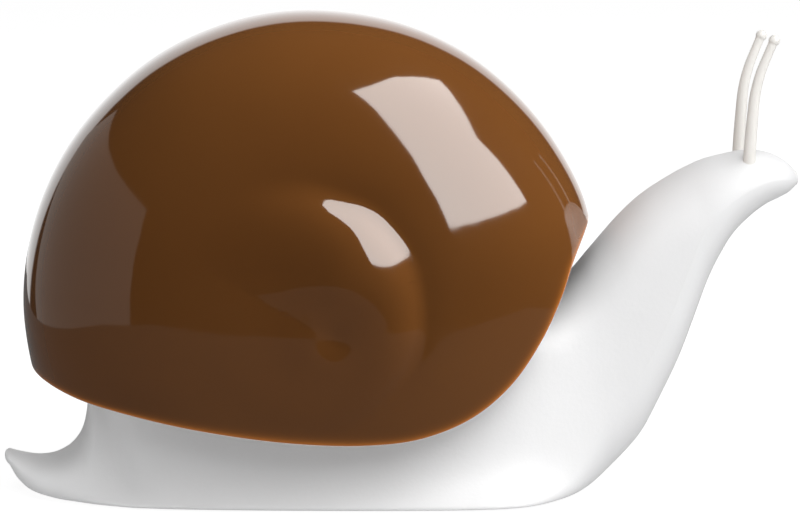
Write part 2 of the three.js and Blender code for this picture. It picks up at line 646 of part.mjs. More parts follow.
add('body_shell', bodyShell(), 'body');
add('tentacle_left', tentacle(1), 'tentacle');
add('tentacle_right', tentacle(-1), 'tentacle');
add('mouth_nozzle', mouthNozzle(), 'silicone');
add('base_plate', basePlate(), 'white');
BASE_SCREW_PLACES.forEach(([x, y], i) => {
  add(`base_screw_${i + 1}`, screw(x, y, PLATE.bottom + 1 - GAP, 11, 0.9), 'steel');
});
PAD_PLACES.forEach(([x, y], i) => {
  add(`foot_pad_${i + 1}`, post(x, y, PAD.radius, 0, PAD.top), 'rubber');
});

add('tank', tank(), 'clear');
add('pump_collar', pumpCollar(), 'white');
add('pump_gasket', turned([[9.2, 57.3], [12.8, 57.3], [12.8, 58.7], [9.2, 58.7]]), 'rubber');
add('pump_housing', pumpHousing(), 'clear');
add('valve_cage', valveCage(), 'white');
add('inlet_ball', valveBall(2.4, 20.4), 'steel');
add('pump_spring', pumpSpring(), 'steel');
add('pump_stem', pumpStem(), 'white');
add('pump_piston', pumpPiston(), 'silicone');
add('pump_insert', pumpInsert(), 'white');
add('actuator', actuator(), 'white');
add('outlet_ball', valveBall(2.9, 84.2), 'steel');
add('dip_tube', dipTube(), 'clear');
add('hose', hose(), 'silicone');

export default snail;
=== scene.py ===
"""Looks of a snail-shaped press dispenser for liquid soap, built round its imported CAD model.

Lengths in the tables and piece functions are in millimetres. The snail's head points to +X, and it
is symmetric about the XZ plane.
"""

import itertools
import math

import bpy
import bmesh
import numpy as np
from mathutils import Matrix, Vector


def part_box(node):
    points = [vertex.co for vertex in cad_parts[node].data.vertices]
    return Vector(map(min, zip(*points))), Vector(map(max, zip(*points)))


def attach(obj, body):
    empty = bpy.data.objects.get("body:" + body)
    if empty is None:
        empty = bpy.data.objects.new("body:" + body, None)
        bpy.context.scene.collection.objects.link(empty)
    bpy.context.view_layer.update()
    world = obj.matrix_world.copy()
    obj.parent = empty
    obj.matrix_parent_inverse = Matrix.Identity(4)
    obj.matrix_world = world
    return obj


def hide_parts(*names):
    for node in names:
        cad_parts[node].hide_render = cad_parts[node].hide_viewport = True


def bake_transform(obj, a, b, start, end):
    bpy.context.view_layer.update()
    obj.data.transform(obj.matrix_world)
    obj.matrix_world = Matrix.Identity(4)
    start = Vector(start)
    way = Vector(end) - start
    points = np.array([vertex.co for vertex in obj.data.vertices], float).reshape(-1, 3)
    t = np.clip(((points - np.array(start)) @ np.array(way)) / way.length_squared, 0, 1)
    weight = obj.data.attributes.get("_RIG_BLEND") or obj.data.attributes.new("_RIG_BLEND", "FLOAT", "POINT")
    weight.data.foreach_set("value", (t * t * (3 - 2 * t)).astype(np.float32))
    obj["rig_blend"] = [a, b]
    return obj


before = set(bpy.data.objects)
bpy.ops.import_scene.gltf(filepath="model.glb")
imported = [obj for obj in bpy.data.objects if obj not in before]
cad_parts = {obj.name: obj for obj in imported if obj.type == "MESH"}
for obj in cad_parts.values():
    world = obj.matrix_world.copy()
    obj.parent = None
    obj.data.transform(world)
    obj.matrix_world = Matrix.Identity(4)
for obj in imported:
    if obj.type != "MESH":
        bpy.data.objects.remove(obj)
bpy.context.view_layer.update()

MM = 0.001

# -------- dimensions shared with the CAD

SHELL_CENTRE = (-26, 57)
SHELL_HALF_WIDTH = 48
SHELL_SQUARENESS = 2.4
SHELL_WALL = 2.5
SHELL_OUTLINE = [
    (48, 75.8), (39.7, 92.5), (28.2, 106.3), (14.2, 117), (-3.6, 124.3), (-26.5, 126.9), (-45.7, 123.7),
    (-64.7, 114.9), (-80.8, 100.6), (-91.6, 84.6), (-98, 65.9), (-99.2, 46), (-93, 22), (-76, 1),
    (-50, -11.5), (-20, -12.5), (8, -6), (30, 11), (44, 36), (49.4, 60),
]
RIM_LINE = [
    (52, 82), (48, 74.3), (45.4, 71.2), (41.6, 65), (37.9, 55.8), (32.3, 44.9), (24.3, 34.2), (13.8, 26.4),
    (0.7, 22), (-13.3, 21), (-29.8, 21.9), (-54.7, 25.3), (-72.2, 28.6), (-85, 31.4), (-94, 34.4),
    (-98.2, 36.2), (-110, 40.5),
]
RIM_ROUNDING = 1.0

BODY_WALL = 2.5
FLOOR_Z = 0.6
DECK_Z = 47
FOOT_FLARE_HEIGHT = 6
# low x, z, high x, z, half-width above, half-width at the foot, rounding low, rounding high
BODY_SECTIONS = [
    (-103.8, 8.4, -102.8, 11.9, 5, 5, 6, 6), (-101.6, 4.7, -99, 10.9, 8, 8, 8, 8),
    (-98.2, 2.3, -95, 10.2, 10.5, 11, 7, 9), (-92, 1, -90.8, 10.8, 12, 14, 5, 9),
    (-86, 0.8, -87, 13.2, 13, 17, 3.5, 9), (-81, 0.7, -84.6, 16.8, 13.6, 19.3, 2.5, 8),
    (-77, 0.7, -83.4, 22, 14.2, 21, 2, 7), (-73, 0.65, -83, 32, 14.8, 22.3, 1.5, 6),
    (-70, FLOOR_Z, -83, DECK_Z, 16.2, 23.2, 1.5, 6), (-67, FLOOR_Z, -80, DECK_Z, 18.5, 23.9, 1.5, 6),
    (-62, FLOOR_Z, -72, DECK_Z, 21, 25, 1.5, 7), (-52, FLOOR_Z, -57, DECK_Z, 23.5, 26.8, 1.5, 7),
    (-36, FLOOR_Z, -38, DECK_Z, 25.2, 29, 1.5, 8), (-18, FLOOR_Z, -18, DECK_Z, 26.2, 31, 1.5, 8),
    (0, FLOOR_Z, 0, DECK_Z, 26.5, 32.5, 1.5, 8), (12, FLOOR_Z, 10, DECK_Z, 26.2, 33, 1.5, 8),
    (22, FLOOR_Z, 18, DECK_Z, 25.4, 32.6, 1.5, 8), (30, FLOOR_Z, 25, DECK_Z, 24, 30.4, 1.5, 9),
    (36.5, FLOOR_Z, 31, DECK_Z + 0.4, 22, 26.4, 2.5, 10), (43.6, 0.9, 36, 49.4, 19.6, 21, 5, 12),
    (49.1, 2, 40.5, 53, 17.8, 18, 10, 14),
]
# neck and head: low x, z, high x, z, half-width, rounding
BODY_SECTIONS += [(*place, width, width, rounding, rounding) for *place, width, rounding in [
    (53.7, 4.2, 44.2, 56.8, 16.6, 15), (58.5, 8.6, 48.4, 61.9, 15.8, 16),
    (63.2, 14.2, 52.7, 67, 15.4, 16), (68.1, 23.6, 57.4, 72.3, 15.1, 15),
    (73.1, 34.2, 62.8, 77.4, 14.9, 15), (77.2, 45.3, 68.8, 81.5, 14.7, 15),
    (80.7, 55.1, 74.9, 84.9, 14.5, 15), (83.6, 61.4, 80, 87.1, 14.2, 14),
    (87.2, 67.4, 85, 88.3, 13.6, 13), (91.6, 71.9, 90.2, 89.3, 12.6, 12),
    (95.8, 75, 95, 89.2, 11.1, 11), (99.6, 76.8, 99.2, 87.9, 9, 9),
    (102.6, 78.4, 102.3, 85.9, 6.3, 7), (104.4, 80, 104.2, 83.9, 3.4, 4),
]]
TAIL_TIP = (-105, 0, 11.4)
SNOUT_TIP = (105, 0, 81.8)
HOLLOW_SECTIONS = slice(5, 32)
WELL_MOUTH = {"x": -24.5, "half_length": 55.5, "half_width": 23.6, "squareness": 2.6}

PLATE = {"x": -25, "half_length": 57, "half_width": 24, "squareness": 2.5}
PLATE_BOTTOM, PLATE_TOP = 1.1, 3.1
PAD_RADIUS = 5
BOSS_RADIUS, BOSS_TOP = 3.5, 16
HOLE_RADIUS = 1.45

TANK = {"half_length": 44, "half_width": 20, "squareness": 2.6}
TANK_WALL = 1.5
CARRIER = {"half_length": 44, "half_width": 22, "squareness": 2}
LEG_INNER, LEG_OUTER, LEG_HALF_LENGTH, LEG_BOTTOM = 27.9, 30.6, 8, 34

OUTLET_Z = 87
BARB_RADIUS, BARB_BORE = 2.25, 1.3
HOSE_RADIUS, HOSE_BORE = 3.4, 2.55
HOSE_ROUTE = [
    (-14.2, OUTLET_Z), (-8.5, OUTLET_Z), (-2, 86), (5.5, 81.5), (11, 73.5), (15.2, 63), (19.5, 52.5),
    (25.2, 43.8), (34.5, 38.5), (45, 39.6), (55, 46.8), (63.5, 56.5), (70.2, 65.2), (75.6, 70.8),
    (81.5, 74.7), (87.1, 77.4),
]

# turned parts of the pump: node, slot, body, rounding, closed profile of r, z
PUMP_PARTS = [
    ("pump_gasket", "rubber", "base", 0.4, [(9.2, 57.3), (12.8, 57.3), (12.8, 58.7), (9.2, 58.7)]),
    ("pump_housing", "clear", "base", 0.25, [
        (2.85, 10), (4.3, 10), (4.3, 18), (7.8, 23), (7.8, 59), (12.8, 59), (12.8, 61.2), (6.5, 61.2),
        (6.5, 24.5), (3, 24.5), (3, 18.2), (1.5, 18.2), (1.5, 17), (2.85, 17)]),
    ("valve_cage", "inner_white", "base", 0.2, [(1.7, 24.8), (6.2, 24.8), (6.2, 25.8), (1.7, 25.8)]),
    ("pump_stem", "inner_white", "plunger", 0.25, [
        (2.3, 44.2), (5.6, 44.2), (5.6, 46.4), (4, 46.4), (4, 82), (2.3, 82)]),
    ("pump_piston", "silicone", "plunger", 0.15, [
        (4.35, 46.7), (6.1, 46.7), (6.3, 47), (6.3, 48.3), (5.7, 49.1), (5.7, 51), (6.3, 51.8),
        (6.3, 53.1), (6.1, 53.4), (4.35, 53.4)]),
    ("pump_insert", "inner_white", "base", 0.25, [
        (4.35, 54.2), (6.2, 54.2), (6.2, 61.5), (9.6, 61.5), (9.6, 63.2), (8.6, 63.8), (4.35, 63.8)]),
    ("dip_tube", "clear", "base", 0.2, [(1.8, 7), (2.5, 7), (2.5, 16.7), (1.8, 16.7)]),
]

MOUTH = (94.2, 74.2)
MOUTH_OUT = (0.58, -0.8146)
MOUTH_DEPTH, MOUTH_RIM, MOUTH_SHANK = 6, 4.2, 3
MOUTH_BARB, MOUTH_BARB_LENGTH = (-0.902, -0.431), 9

# middle line of a tentacle: x, z, radius
TENTACLE_LINE = [
    (90.6, 82, 1.65), (90.6, 87, 1.65), (90.8, 92, 1.6), (91.2, 98.5, 1.5), (91.8, 105, 1.4),
    (93.1, 110.5, 1.3), (94.8, 115, 1.2), (96.2, 118.4, 1.2),
]
TENTACLE_BALL = (96.5, 119, 1.5)
TENTACLE_ROOT_Y, TENTACLE_TIP_Y = 7.4, 8.6

# -------- camera

CAMERA_TARGET = Vector((0, 0, 0.060))
CAMERA_AZIMUTH, CAMERA_ELEVATION = math.radians(-5), math.radians(8.5)
CAMERA_DISTANCE = 0.85


def add_camera():
    """The photograph's camera: a long lens in front of the snail's right side, a little above it."""
    data = bpy.data.cameras.new("camera")
    data.sensor_width = 36
    data.lens = 145.13
    data.shift_x, data.shift_y = -0.0035, 0.0072
    camera = bpy.data.objects.new("camera", data)
    bpy.context.scene.collection.objects.link(camera)
    level = math.cos(CAMERA_ELEVATION)
    back = Vector((
        math.sin(CAMERA_AZIMUTH) * level, -math.cos(CAMERA_AZIMUTH) * level, math.sin(CAMERA_ELEVATION)))
    camera.location = CAMERA_TARGET + CAMERA_DISTANCE * back
    camera.rotation_euler = (-back).to_track_quat("-Z", "Y").to_euler()
    bpy.context.scene.camera = camera


add_camera()

# -------- curves


def between(t, start, end, first, last):
    """The value at t on a straight run from first at start to last at end."""
    return ((end - t) * first + (t - start) * last) / (end - start)


def spline(points, count, closed=False):
    """Evenly spaced points on a centripetal Catmull-Rom curve through the given ones."""
    p = np.array(points, float)
    before = p[-1] if closed else 2 * p[0] - p[1]
    after = [p[0], p[1]] if closed else [2 * p[-1] - p[-2]]
    p = np.vstack([before, p, *after])
    fine = []
    for p0, p1, p2, p3 in zip(p, p[1:], p[2:], p[3:]):
        t0, t1, t2, t3 = np.cumsum([0] + [max(np.linalg.norm(b - a), 1e-6) ** 0.5
                                         for a, b in ((p0, p1), (p1, p2), (p2, p3))])
        t = np.linspace(t1, t2, 24, endpoint=False)[:, None]
        early = between(t, t0, t2, between(t, t0, t1, p0, p1), between(t, t1, t2, p1, p2))
        late = between(t, t1, t3, between(t, t1, t2, p1, p2), between(t, t2, t3, p2, p3))
        fine.append(between(t, t1, t2, early, late))
    fine = np.vstack([*fine, p[1] if closed else p[-2]])
    along = np.concatenate([[0], np.cumsum(np.linalg.norm(np.diff(fine, axis=0), axis=1))])
    wanted = np.linspace(0, along[-1], count)
    return np.column_stack([np.interp(wanted, along, column) for column in fine.T])


def through(at, values, wanted):
    """Rows of values at increasing parameters, smoothly interpolated at the wanted ones."""
    at, values = np.array(at, float), np.array(values, float)
    step = np.diff(at)[:, None]
    slope = np.diff(values, axis=0) / step
    tangent = np.vstack([slope[0], (slope[1:] * step[:-1] + slope[:-1] * step[1:]) / (step[1:] + step[:-1]),
                         slope[-1]])
    i = np.clip(np.searchsorted(at, wanted, side="right") - 1, 0, len(at) - 2)
    h = step[i]
    t = (np.asarray(wanted) - at[i])[:, None] / h
    return ((1 + 2 * t) * (1 - t) ** 2 * values[i] + t * (1 - t) ** 2 * h * tangent[i]
            + t * t * (3 - 2 * t) * values[i + 1] - t * t * (1 - t) * h * tangent[i + 1])


def smooth_step(x):
    """0 below 0, 1 above 1, and a smooth rise between."""
    x = np.clip(x, 0, 1)
    return x * x * (3 - 2 * x)


def circle(count):
    """Evenly spaced angles round a full turn."""
    return np.arange(count) * 2 * math.pi / count


def oval(shape, grow=0):
    """Points of a squarish oval in plan."""
    angle = circle(96)
    c, s = np.cos(angle), np.sin(angle)
    power = 2 / shape["squareness"]
    return np.column_stack([
        shape["x"] + (shape["half_length"] + grow) * np.sign(c) * np.abs(c) ** power,
        (shape["half_width"] + grow) * np.sign(s) * np.abs(s) ** power,
    ])


def rounded(profile, radius):
    """A closed profile with each corner off the axis rounded."""
    points = [np.array(p, float) for p in profile]
    result = []
    for before, corner, after in zip(points[-1:] + points[:-1], points, points[1:] + points[:1]):
        if corner[0] == 0:
            result.append(corner)
            continue
        sides = [before - corner, after - corner]
        lengths = [np.linalg.norm(side) for side in sides]
        cut = min(radius, 0.42 * min(lengths))
        start, end = (corner + side * cut / length for side, length in zip(sides, lengths))
        for t in (0, 0.33, 0.67, 1):
            result.append((1 - t) ** 2 * start + 2 * t * (1 - t) * corner + t * t * end)
    return result


# -------- meshes


def mesh_object(name, points, faces):
    """A mesh object from points in metres."""
    mesh = bpy.data.meshes.new(name)
    mesh.from_pydata(np.asarray(points, float).tolist(), [], faces)
    obj = bpy.data.objects.new(name, mesh)
    bpy.context.scene.collection.objects.link(obj)
    return obj


def new_piece(name, points, faces):
    """A mesh object from points in millimetres, welded and with all faces outwards."""
    obj = mesh_object(name, np.asarray(points, float) * MM, faces)
    work = bmesh.new()
    work.from_mesh(obj.data)
    bmesh.ops.remove_doubles(work, verts=work.verts, dist=1e-7)
    bmesh.ops.recalc_face_normals(work, faces=work.faces)
    work.to_mesh(obj.data)
    work.free()
    return obj


def grid_faces(rows, columns, first=0):
    """Quads between closed rows of equally many points."""
    return [
        (first + i * columns + j, first + i * columns + (j + 1) % columns,
         first + (i + 1) * columns + (j + 1) % columns, first + (i + 1) * columns + j)
        for i in range(rows - 1) for j in range(columns)
    ]


def skin(name, rings, first_tip, last_tip):
    """A closed skin over equal rings, drawn to a tip at each end."""
    rings = np.asarray(rings, float)
    rows, columns = rings.shape[:2]
    points = np.vstack([rings.reshape(-1, 3), first_tip, last_tip])
    first, last = rows * columns, rows * columns + 1
    faces = grid_faces(rows, columns)
    for j in range(columns):
        after = (j + 1) % columns
        faces.append((first, after, j))
        faces.append((last, first - columns + j, first - columns + after))
    return new_piece(name, points, faces)


def turned(name, profile, x, y=0, sides=72, rounding=0.25):
    """A solid of revolution about an upright axis, from a closed profile of r, z."""
    radius, height = np.array(rounded(profile, rounding)).T
    angle = circle(sides)
    points = np.column_stack([
        x + np.outer(radius, np.cos(angle)).ravel(), y + np.outer(radius, np.sin(angle)).ravel(),
        np.repeat(height, sides)])
    faces = []
    for i in range(len(radius)):
        k = (i + 1) % len(radius)
        if radius[i] == radius[k] == 0:
            continue
        for j in range(sides):
            after = (j + 1) % sides
            faces.append((i * sides + j, i * sides + after, k * sides + after, k * sides + j))
    return new_piece(name, points, faces)


def ball(name, radius, x, y, z, parts=16, sides=72):
    """A ball, with a number of parts from pole to pole."""
    turns = np.linspace(-math.pi / 2, math.pi / 2, parts + 1)[1:-1]
    profile = [(radius * math.cos(t), z + radius * math.sin(t)) for t in turns]
    return turned(name, [(0, z - radius), *profile, (0, z + radius)], x, y, sides, rounding=0)


def cylinder(name, radius, bottom, top, x, y, sides=32):
    """An upright cylinder with slightly rounded edges."""
    return turned(name, [(0, bottom), (radius, bottom), (radius, top), (0, top)], x, y, sides)


def stacked(name, rings):
    """A closed solid from level rings of plan points: a list of (points, z)."""
    layers = [np.column_stack([points, np.full(len(points), z)]) for points, z in rings]
    return skin(name, layers, layers[0].mean(axis=0), layers[-1].mean(axis=0))


def prism_rings(shape, bottom, top, rounding, grow, parts):
    """Level rings of an upright prism on a squarish oval, its edges rounded in a number of parts."""
    arc = np.linspace(0, math.pi / 2, parts + 1)
    edge = [(rounding * (1 - math.sin(a)), rounding * (1 - math.cos(a))) for a in arc]
    low = [(oval(shape, grow - inset), bottom + rise) for inset, rise in edge]
    return low + [(oval(shape, grow - inset), top - drop) for drop, inset in edge]


def soft_prism(name, shape, bottom, top, rounding=0.4, grow=0):
    """An upright prism on a squarish oval, with rounded edges."""
    return stacked(name, prism_rings(shape, bottom, top, rounding, grow, 4))


def box_piece(name, low, high):
    """A box between two corners, used only to join or cut."""
    corners = list(itertools.product(*zip(low, high)))
    faces = [(0, 1, 3, 2), (4, 6, 7, 5), (0, 4, 5, 1), (2, 3, 7, 6), (0, 2, 6, 4), (1, 5, 7, 3)]
    return new_piece(name, corners, faces)


def directions(line):
    """Unit direction of a line at each of its points."""
    along = np.vstack([line[1:], line[-1]]) - np.vstack([line[0], line[:-1]])
    return along / np.linalg.norm(along, axis=1)[:, None]


def sweep(name, line, radii, sides=32, across=None):
    """A round bar along a line of points. across gives a vector off the line at each point."""
    line = np.asarray(line, float)
    along = directions(line)
    across = np.tile([0.0, 1.0, 0.0], (len(line), 1)) if across is None else across
    up = np.cross(along, across)
    up /= np.linalg.norm(up, axis=1)[:, None]
    out = np.cross(up, along)
    angle = circle(sides)[:, None]
    radii = np.broadcast_to(radii, len(line))[:, None, None]
    rings = line[:, None] + radii * (out[:, None] * np.cos(angle) + up[:, None] * np.sin(angle))
    return skin(name, rings, line[0], line[-1])


def bar(name, start, end, radius):
    """A straight round bar between two x, z points, its edges slightly rounded."""
    a, b = (np.array([x, 0, z], float) for x, z in (start, end))
    unit = (b - a) / np.linalg.norm(b - a)
    edge = 0.15
    line = [a, a + unit * edge, b - unit * edge, b]
    return sweep(name, line, [radius - edge, radius, radius, radius - edge], 48)


def bake(obj):
    """Applies all modifiers."""
    graph = bpy.context.evaluated_depsgraph_get()
    mesh = bpy.data.meshes.new_from_object(obj.evaluated_get(graph))
    obj.modifiers.clear()
    old, obj.data = obj.data, mesh
    bpy.data.meshes.remove(old)
    mesh.name = obj.name


def combine(obj, operation, tools):
    """Joins, cuts or intersects a solid with others, which are used up."""
    for tool in tools:
        modifier = obj.modifiers.new("solid", "BOOLEAN")
        modifier.operation = operation
        modifier.solver = "MANIFOLD"
        modifier.object = tool
        bake(obj)
        bpy.data.objects.remove(tool)
    return obj


def join(obj, *tools):
    return combine(obj, "UNION", tools)


def cut(obj, *tools):
    return combine(obj, "DIFFERENCE", tools)


def soften(obj, width):
    """Rounds the sharp edges of a finished solid."""
    modifier = obj.modifiers.new("edges", "BEVEL")
    modifier.width = width * MM
    modifier.segments = 3
    modifier.limit_method = "ANGLE"
    modifier.angle_limit = math.radians(35)
    bake(obj)


def finish_piece(obj, slot, body=None, replaces=(), smooth_angle=38, paint=None):
    """Shades, paints and mounts a finished piece. A piece with no body is blended later."""
    obj.data.shade_smooth()
    obj.data.set_sharp_from_angle(angle=math.radians(smooth_angle))
    obj.data.materials.clear()
    obj.data.materials.append(paint or PAINTS[slot])
    if replaces:
        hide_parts(*replaces)
    if body:
        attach(obj, body)
    return obj


def centre_of(node):
    """Middle of a CAD node's box, in millimetres."""
    low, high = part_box(node)
    return (low + high) / 2 / MM


def heights_of(node):
    """Lowest and highest z of a CAD node, in millimetres."""
    return [corner.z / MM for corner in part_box(node)]


def places(kind):
    """x, y of each of the four nodes of a kind."""
    return [centre_of(f"{kind}_{i}").xy for i in range(1, 5)]


PUMP_X = round(centre_of("pump_stem").x, 3)
TANK["x"] = CARRIER["x"] = PUMP_X

# -------- materials


def add_node(tree, kind, inputs=None, **properties):
    """A shader node. Each of its inputs is given as a value or as another node's output."""
    made = tree.nodes.new(kind)
    for key, value in properties.items():
        setattr(made, key, value)
    for key, value in (inputs or {}).items():
        if isinstance(value, bpy.types.NodeSocket):
            tree.links.new(value, made.inputs[key])
        else:
            made.inputs[key].default_value = value
    return made


def add_mix(tree, kind, factor, first, second):
    """Two numbers or colours mixed. A mix node has sockets of its own for each kind."""
    a, b, result = {"FLOAT": (2, 3, 0), "RGBA": (6, 7, 2)}[kind]
    inputs = {0: factor, a: first, b: second}
    return add_node(tree, "ShaderNodeMix", inputs, data_type=kind).outputs[result]


class Paint:
    """A principled material and short ways to add nodes to it."""

    def __init__(self, name, color, roughness, **settings):
        self.material = bpy.data.materials.new(name)
        self.material.use_nodes = True
        self.tree = self.material.node_tree
        self.shader = self.tree.nodes["Principled BSDF"]
        self.shader.inputs["Base Color"].default_value = (*color, 1)
        self.shader.inputs["Roughness"].default_value = roughness
        for socket, value in settings.items():
            self.shader.inputs[socket.replace("_", " ")].default_value = value
        self.position = add_node(self.tree, "ShaderNodeTexCoord").outputs["Object"]

    def noise(self, scale, detail=3, stretch=None):
        """Noise with features about 1/scale metres wide, stretched by a scale on each axis."""
        place = self.position
        if stretch:
            place = add_node(self.tree, "ShaderNodeMapping", {"Vector": place, "Scale": stretch}).outputs[0]
        inputs = {"Vector": place, "Scale": scale, "Detail": detail}
        return add_node(self.tree, "ShaderNodeTexNoise", inputs).outputs["Fac"]

    def ramp(self, value, low, high, low_out=0, high_out=1):
        """Value moved from one range to another, clamped."""
        return add_node(self.tree, "ShaderNodeMapRange", {
            "Value": value, "From Min": low, "From Max": high, "To Min": low_out, "To Max": high_out,
        }).outputs["Result"]

    def mix(self, factor, first, second):
        """Two colours or colour sockets mixed."""
        colors = [(*color, 1) if isinstance(color, tuple) else color for color in (first, second)]
        return add_mix(self.tree, "RGBA", factor, *colors)

    def link(self, name, socket):
        self.tree.links.new(socket, self.shader.inputs[name])

    def color(self, value, dark, light, low=0.35, high=0.65):
        """Colour that goes from dark to light as a value goes from low to high."""
        self.link("Base Color", self.mix(self.ramp(value, low, high), dark, light))

    def roughness(self, noise, low, high):
        self.link("Roughness", self.ramp(noise, 0.3, 0.7, low, high))

    def bump(self, height, depth):
        """Surface relief of the given depth in metres."""
        inputs = {"Height": height, "Distance": depth, "Strength": 1.0}
        self.link("Normal", add_node(self.tree, "ShaderNodeBump", inputs).outputs["Normal"])


def shell_paint():
    """Polished brown plastic, with a painted glow, as of light through the thin plastic, that turns it
    warmer orange towards its rim, and a painted highlight as a pale line along the very edge.
    """
    paint = Paint("shell_gloss", (0.13, 0.05, 0.015), 0.05, IOR=1.5, Coat_Weight=0.4, Coat_Roughness=0.03)
    cloud = paint.ramp(paint.noise(14, 2), 0.35, 0.65)
    brown = paint.mix(cloud, (0.098, 0.035, 0.0075), (0.112, 0.041, 0.009))
    # painted glow: light through the thin rim painted as colour, 1 at the rim and fading inwards
    painted_glow = add_node(paint.tree, "ShaderNodeAttribute", attribute_name="rim_glow").outputs["Fac"]
    painted_glow_brown = paint.mix(paint.ramp(painted_glow, 0, 1), brown, (0.36, 0.115, 0.018))
    # values above 1, on the rim's rounding, paint a pale highlight along the very edge
    paint.color(painted_glow, painted_glow_brown, (0.75, 0.64, 0.57), 1.1, 1.4)
    paint.roughness(paint.noise(60, 4), 0.055, 0.085)
    paint.bump(paint.noise(90, 2), 0.00004)
    return paint.material


def white_paint(name, light, dark, roughness, grain_scale, grain_depth):
    """Moulded white plastic with a fine grain and faint clouds in its colour."""
    paint = Paint(name, light, roughness, IOR=1.46)
    paint.color(paint.noise(22), dark, light)
    paint.roughness(paint.noise(grain_scale / 3), roughness - 0.05, roughness + 0.05)
    paint.bump(paint.noise(grain_scale), grain_depth)
    return paint.material


def frosted_paint(name, color, transmission, roughness):
    """Frosted translucent plastic with faint flow lines."""
    paint = Paint(name, color, roughness, IOR=1.49, Transmission_Weight=transmission)
    flow = paint.noise(120, stretch=(0.25, 0.25, 1))
    paint.roughness(flow, roughness - 0.06, roughness + 0.08)
    paint.color(paint.noise(35), tuple(0.93 * part for part in color), color)
    paint.bump(paint.noise(700, 2), 0.00002)
    return paint.material


def rubber_paint():
    """Matt dark rubber with a pebbled skin, lighter on its high spots."""
    paint = Paint("pad_rubber", (0.028, 0.028, 0.03), 0.82)
    grain = paint.noise(1600, 4)
    paint.color(grain, (0.02, 0.02, 0.022), (0.06, 0.06, 0.06), 0.4, 0.7)
    paint.roughness(grain, 0.75, 0.92)
    paint.bump(grain, 0.00006)
    return paint.material


def steel_paint(name, roughness, scratch_stretch):
    """Bright steel with fine drawing or turning marks."""
    paint = Paint(name, (0.56, 0.57, 0.58), roughness, Metallic=1.0)
    marks = paint.noise(900, 4, stretch=scratch_stretch)
    paint.color(marks, (0.46, 0.47, 0.48), (0.62, 0.63, 0.64))
    paint.roughness(marks, roughness - 0.08, roughness + 0.12)
    paint.bump(marks, 0.00001)
    return paint.material


# the paint of each slot of the record
PAINTS = {
    "shell": shell_paint(),
    "body": white_paint("body_matt", (0.76, 0.76, 0.765), (0.735, 0.735, 0.74), 0.52, 900, 0.00003),
    "tentacle": white_paint("tentacle_ivory", (0.80, 0.78, 0.745), (0.77, 0.745, 0.705), 0.45, 1200,
                            0.00004),
    "inner_white": white_paint("inner_white", (0.72, 0.72, 0.71), (0.68, 0.68, 0.67), 0.38, 1100, 0.00003),
    "clear": frosted_paint("frosted_clear", (0.80, 0.87, 0.89), 0.72, 0.3),
    "silicone": frosted_paint("silicone", (0.66, 0.68, 0.66), 0.35, 0.42),
    "rubber": rubber_paint(),
    "steel": steel_paint("drawn_steel", 0.26, (1, 1, 6)),
}
SPRING_PAINT = steel_paint("spring_steel", 0.2, (6, 6, 1))

# -------- shell

AROUND, OUTWARD = 320, 80
RIM_ENDS = (-164, 13.5)
RIM_DROP = 1.4

# Groove of the spiral on each flank, from its start to the middle: angle in degrees, anticlockwise
# from the head's side, and distance from the middle.
SPIRAL_CENTRE = (-23.1, 48.9)
SPIRAL_GROOVE = [
    (150, 40.8), (120, 40), (100, 37.5), (85, 34.8), (70, 33), (55, 30.3), (40, 28), (27, 26.2), (12, 24.5),
    (0, 24), (-14, 23.1), (-28, 22.6), (-45, 22.5), (-70, 23.8), (-100, 25.8), (-130, 28.2), (-160, 30.5),
    (-190, 31.8), (-212, 26.2), (-229, 20.5), (-249, 16.9), (-273, 15.3), (-296, 14.8), (-331, 13.1),
    (-380, 11), (-430, 9.5), (-500, 8),
]
# How strong the relief is along the way, as a share of its full height.
GROOVE_STRENGTH = [
    (150, 0), (125, 0.25), (100, 0.6), (82, 0.9), (65, 1), (0, 1), (-30, 0.85), (-60, 0.55), (-100, 0.25),
    (-140, 0.08), (-190, 0.04), (-240, 0.05), (-330, 0.06), (-400, 0.05), (-460, 0.03), (-500, 0),
]
GROOVE_DEPTH, GROOVE_LENGTH = 1.9, 7
CREST_HEIGHT, CREST_DISTANCE = 3.5, 13
FULL_SIZE_RADIUS = 32
WHORL_BLUR = 2.2
MIDDLE_HEIGHT, MIDDLE_RADIUS = 1.3, 16
DIMPLE, DIMPLE_DEPTH, DIMPLE_RADIUS = (-21.6, 48.3), 0.8, 4
RELIEF_FADE = 12
# how far inwards from the rim the painted glow of light through the thin plastic fades, in millimetres
PAINTED_GLOW_REACH = 0.7


def polar_reach(curve, angle, **ends):
    """How far a curve is from the shell's centre along each angle."""
    curve = curve - SHELL_CENTRE
    turn = np.arctan2(curve[:, 1], curve[:, 0])
    order = np.argsort(turn)
    return np.interp(angle, turn[order], np.hypot(*curve[order].T), **ends)


def shell_reach():
    """Directions round the shell's centre, and how far the outline and the rim are along each."""
    close = np.radians(RIM_ENDS)[:, None] + np.radians(np.linspace(-4, 4, 41))
    angle = np.unique(np.append(circle(AROUND) - math.pi, close))
    outer = polar_reach(spline(SHELL_OUTLINE, 1500, closed=True), angle, period=2 * math.pi)
    edge = polar_reach(spline(RIM_LINE, 900), angle, left=1e3, right=1e3)
    return angle, outer, edge - RIM_ROUNDING + RIM_DROP


def whorl_profile(inside, scale):
    """Height across a whorl, by how far a point lies inside its groove. Outside, inside is negative."""
    height = np.zeros_like(inside)
    steps = np.linspace(-WHORL_BLUR, WHORL_BLUR, 11)
    for step in steps:
        at = inside / scale + step
        crest = np.maximum(at, 0) / CREST_DISTANCE
        height += CREST_HEIGHT * crest * np.exp(1 - crest)
        height -= GROOVE_DEPTH * np.exp(-np.abs(at) / GROOVE_LENGTH)
    return scale * height / len(steps)


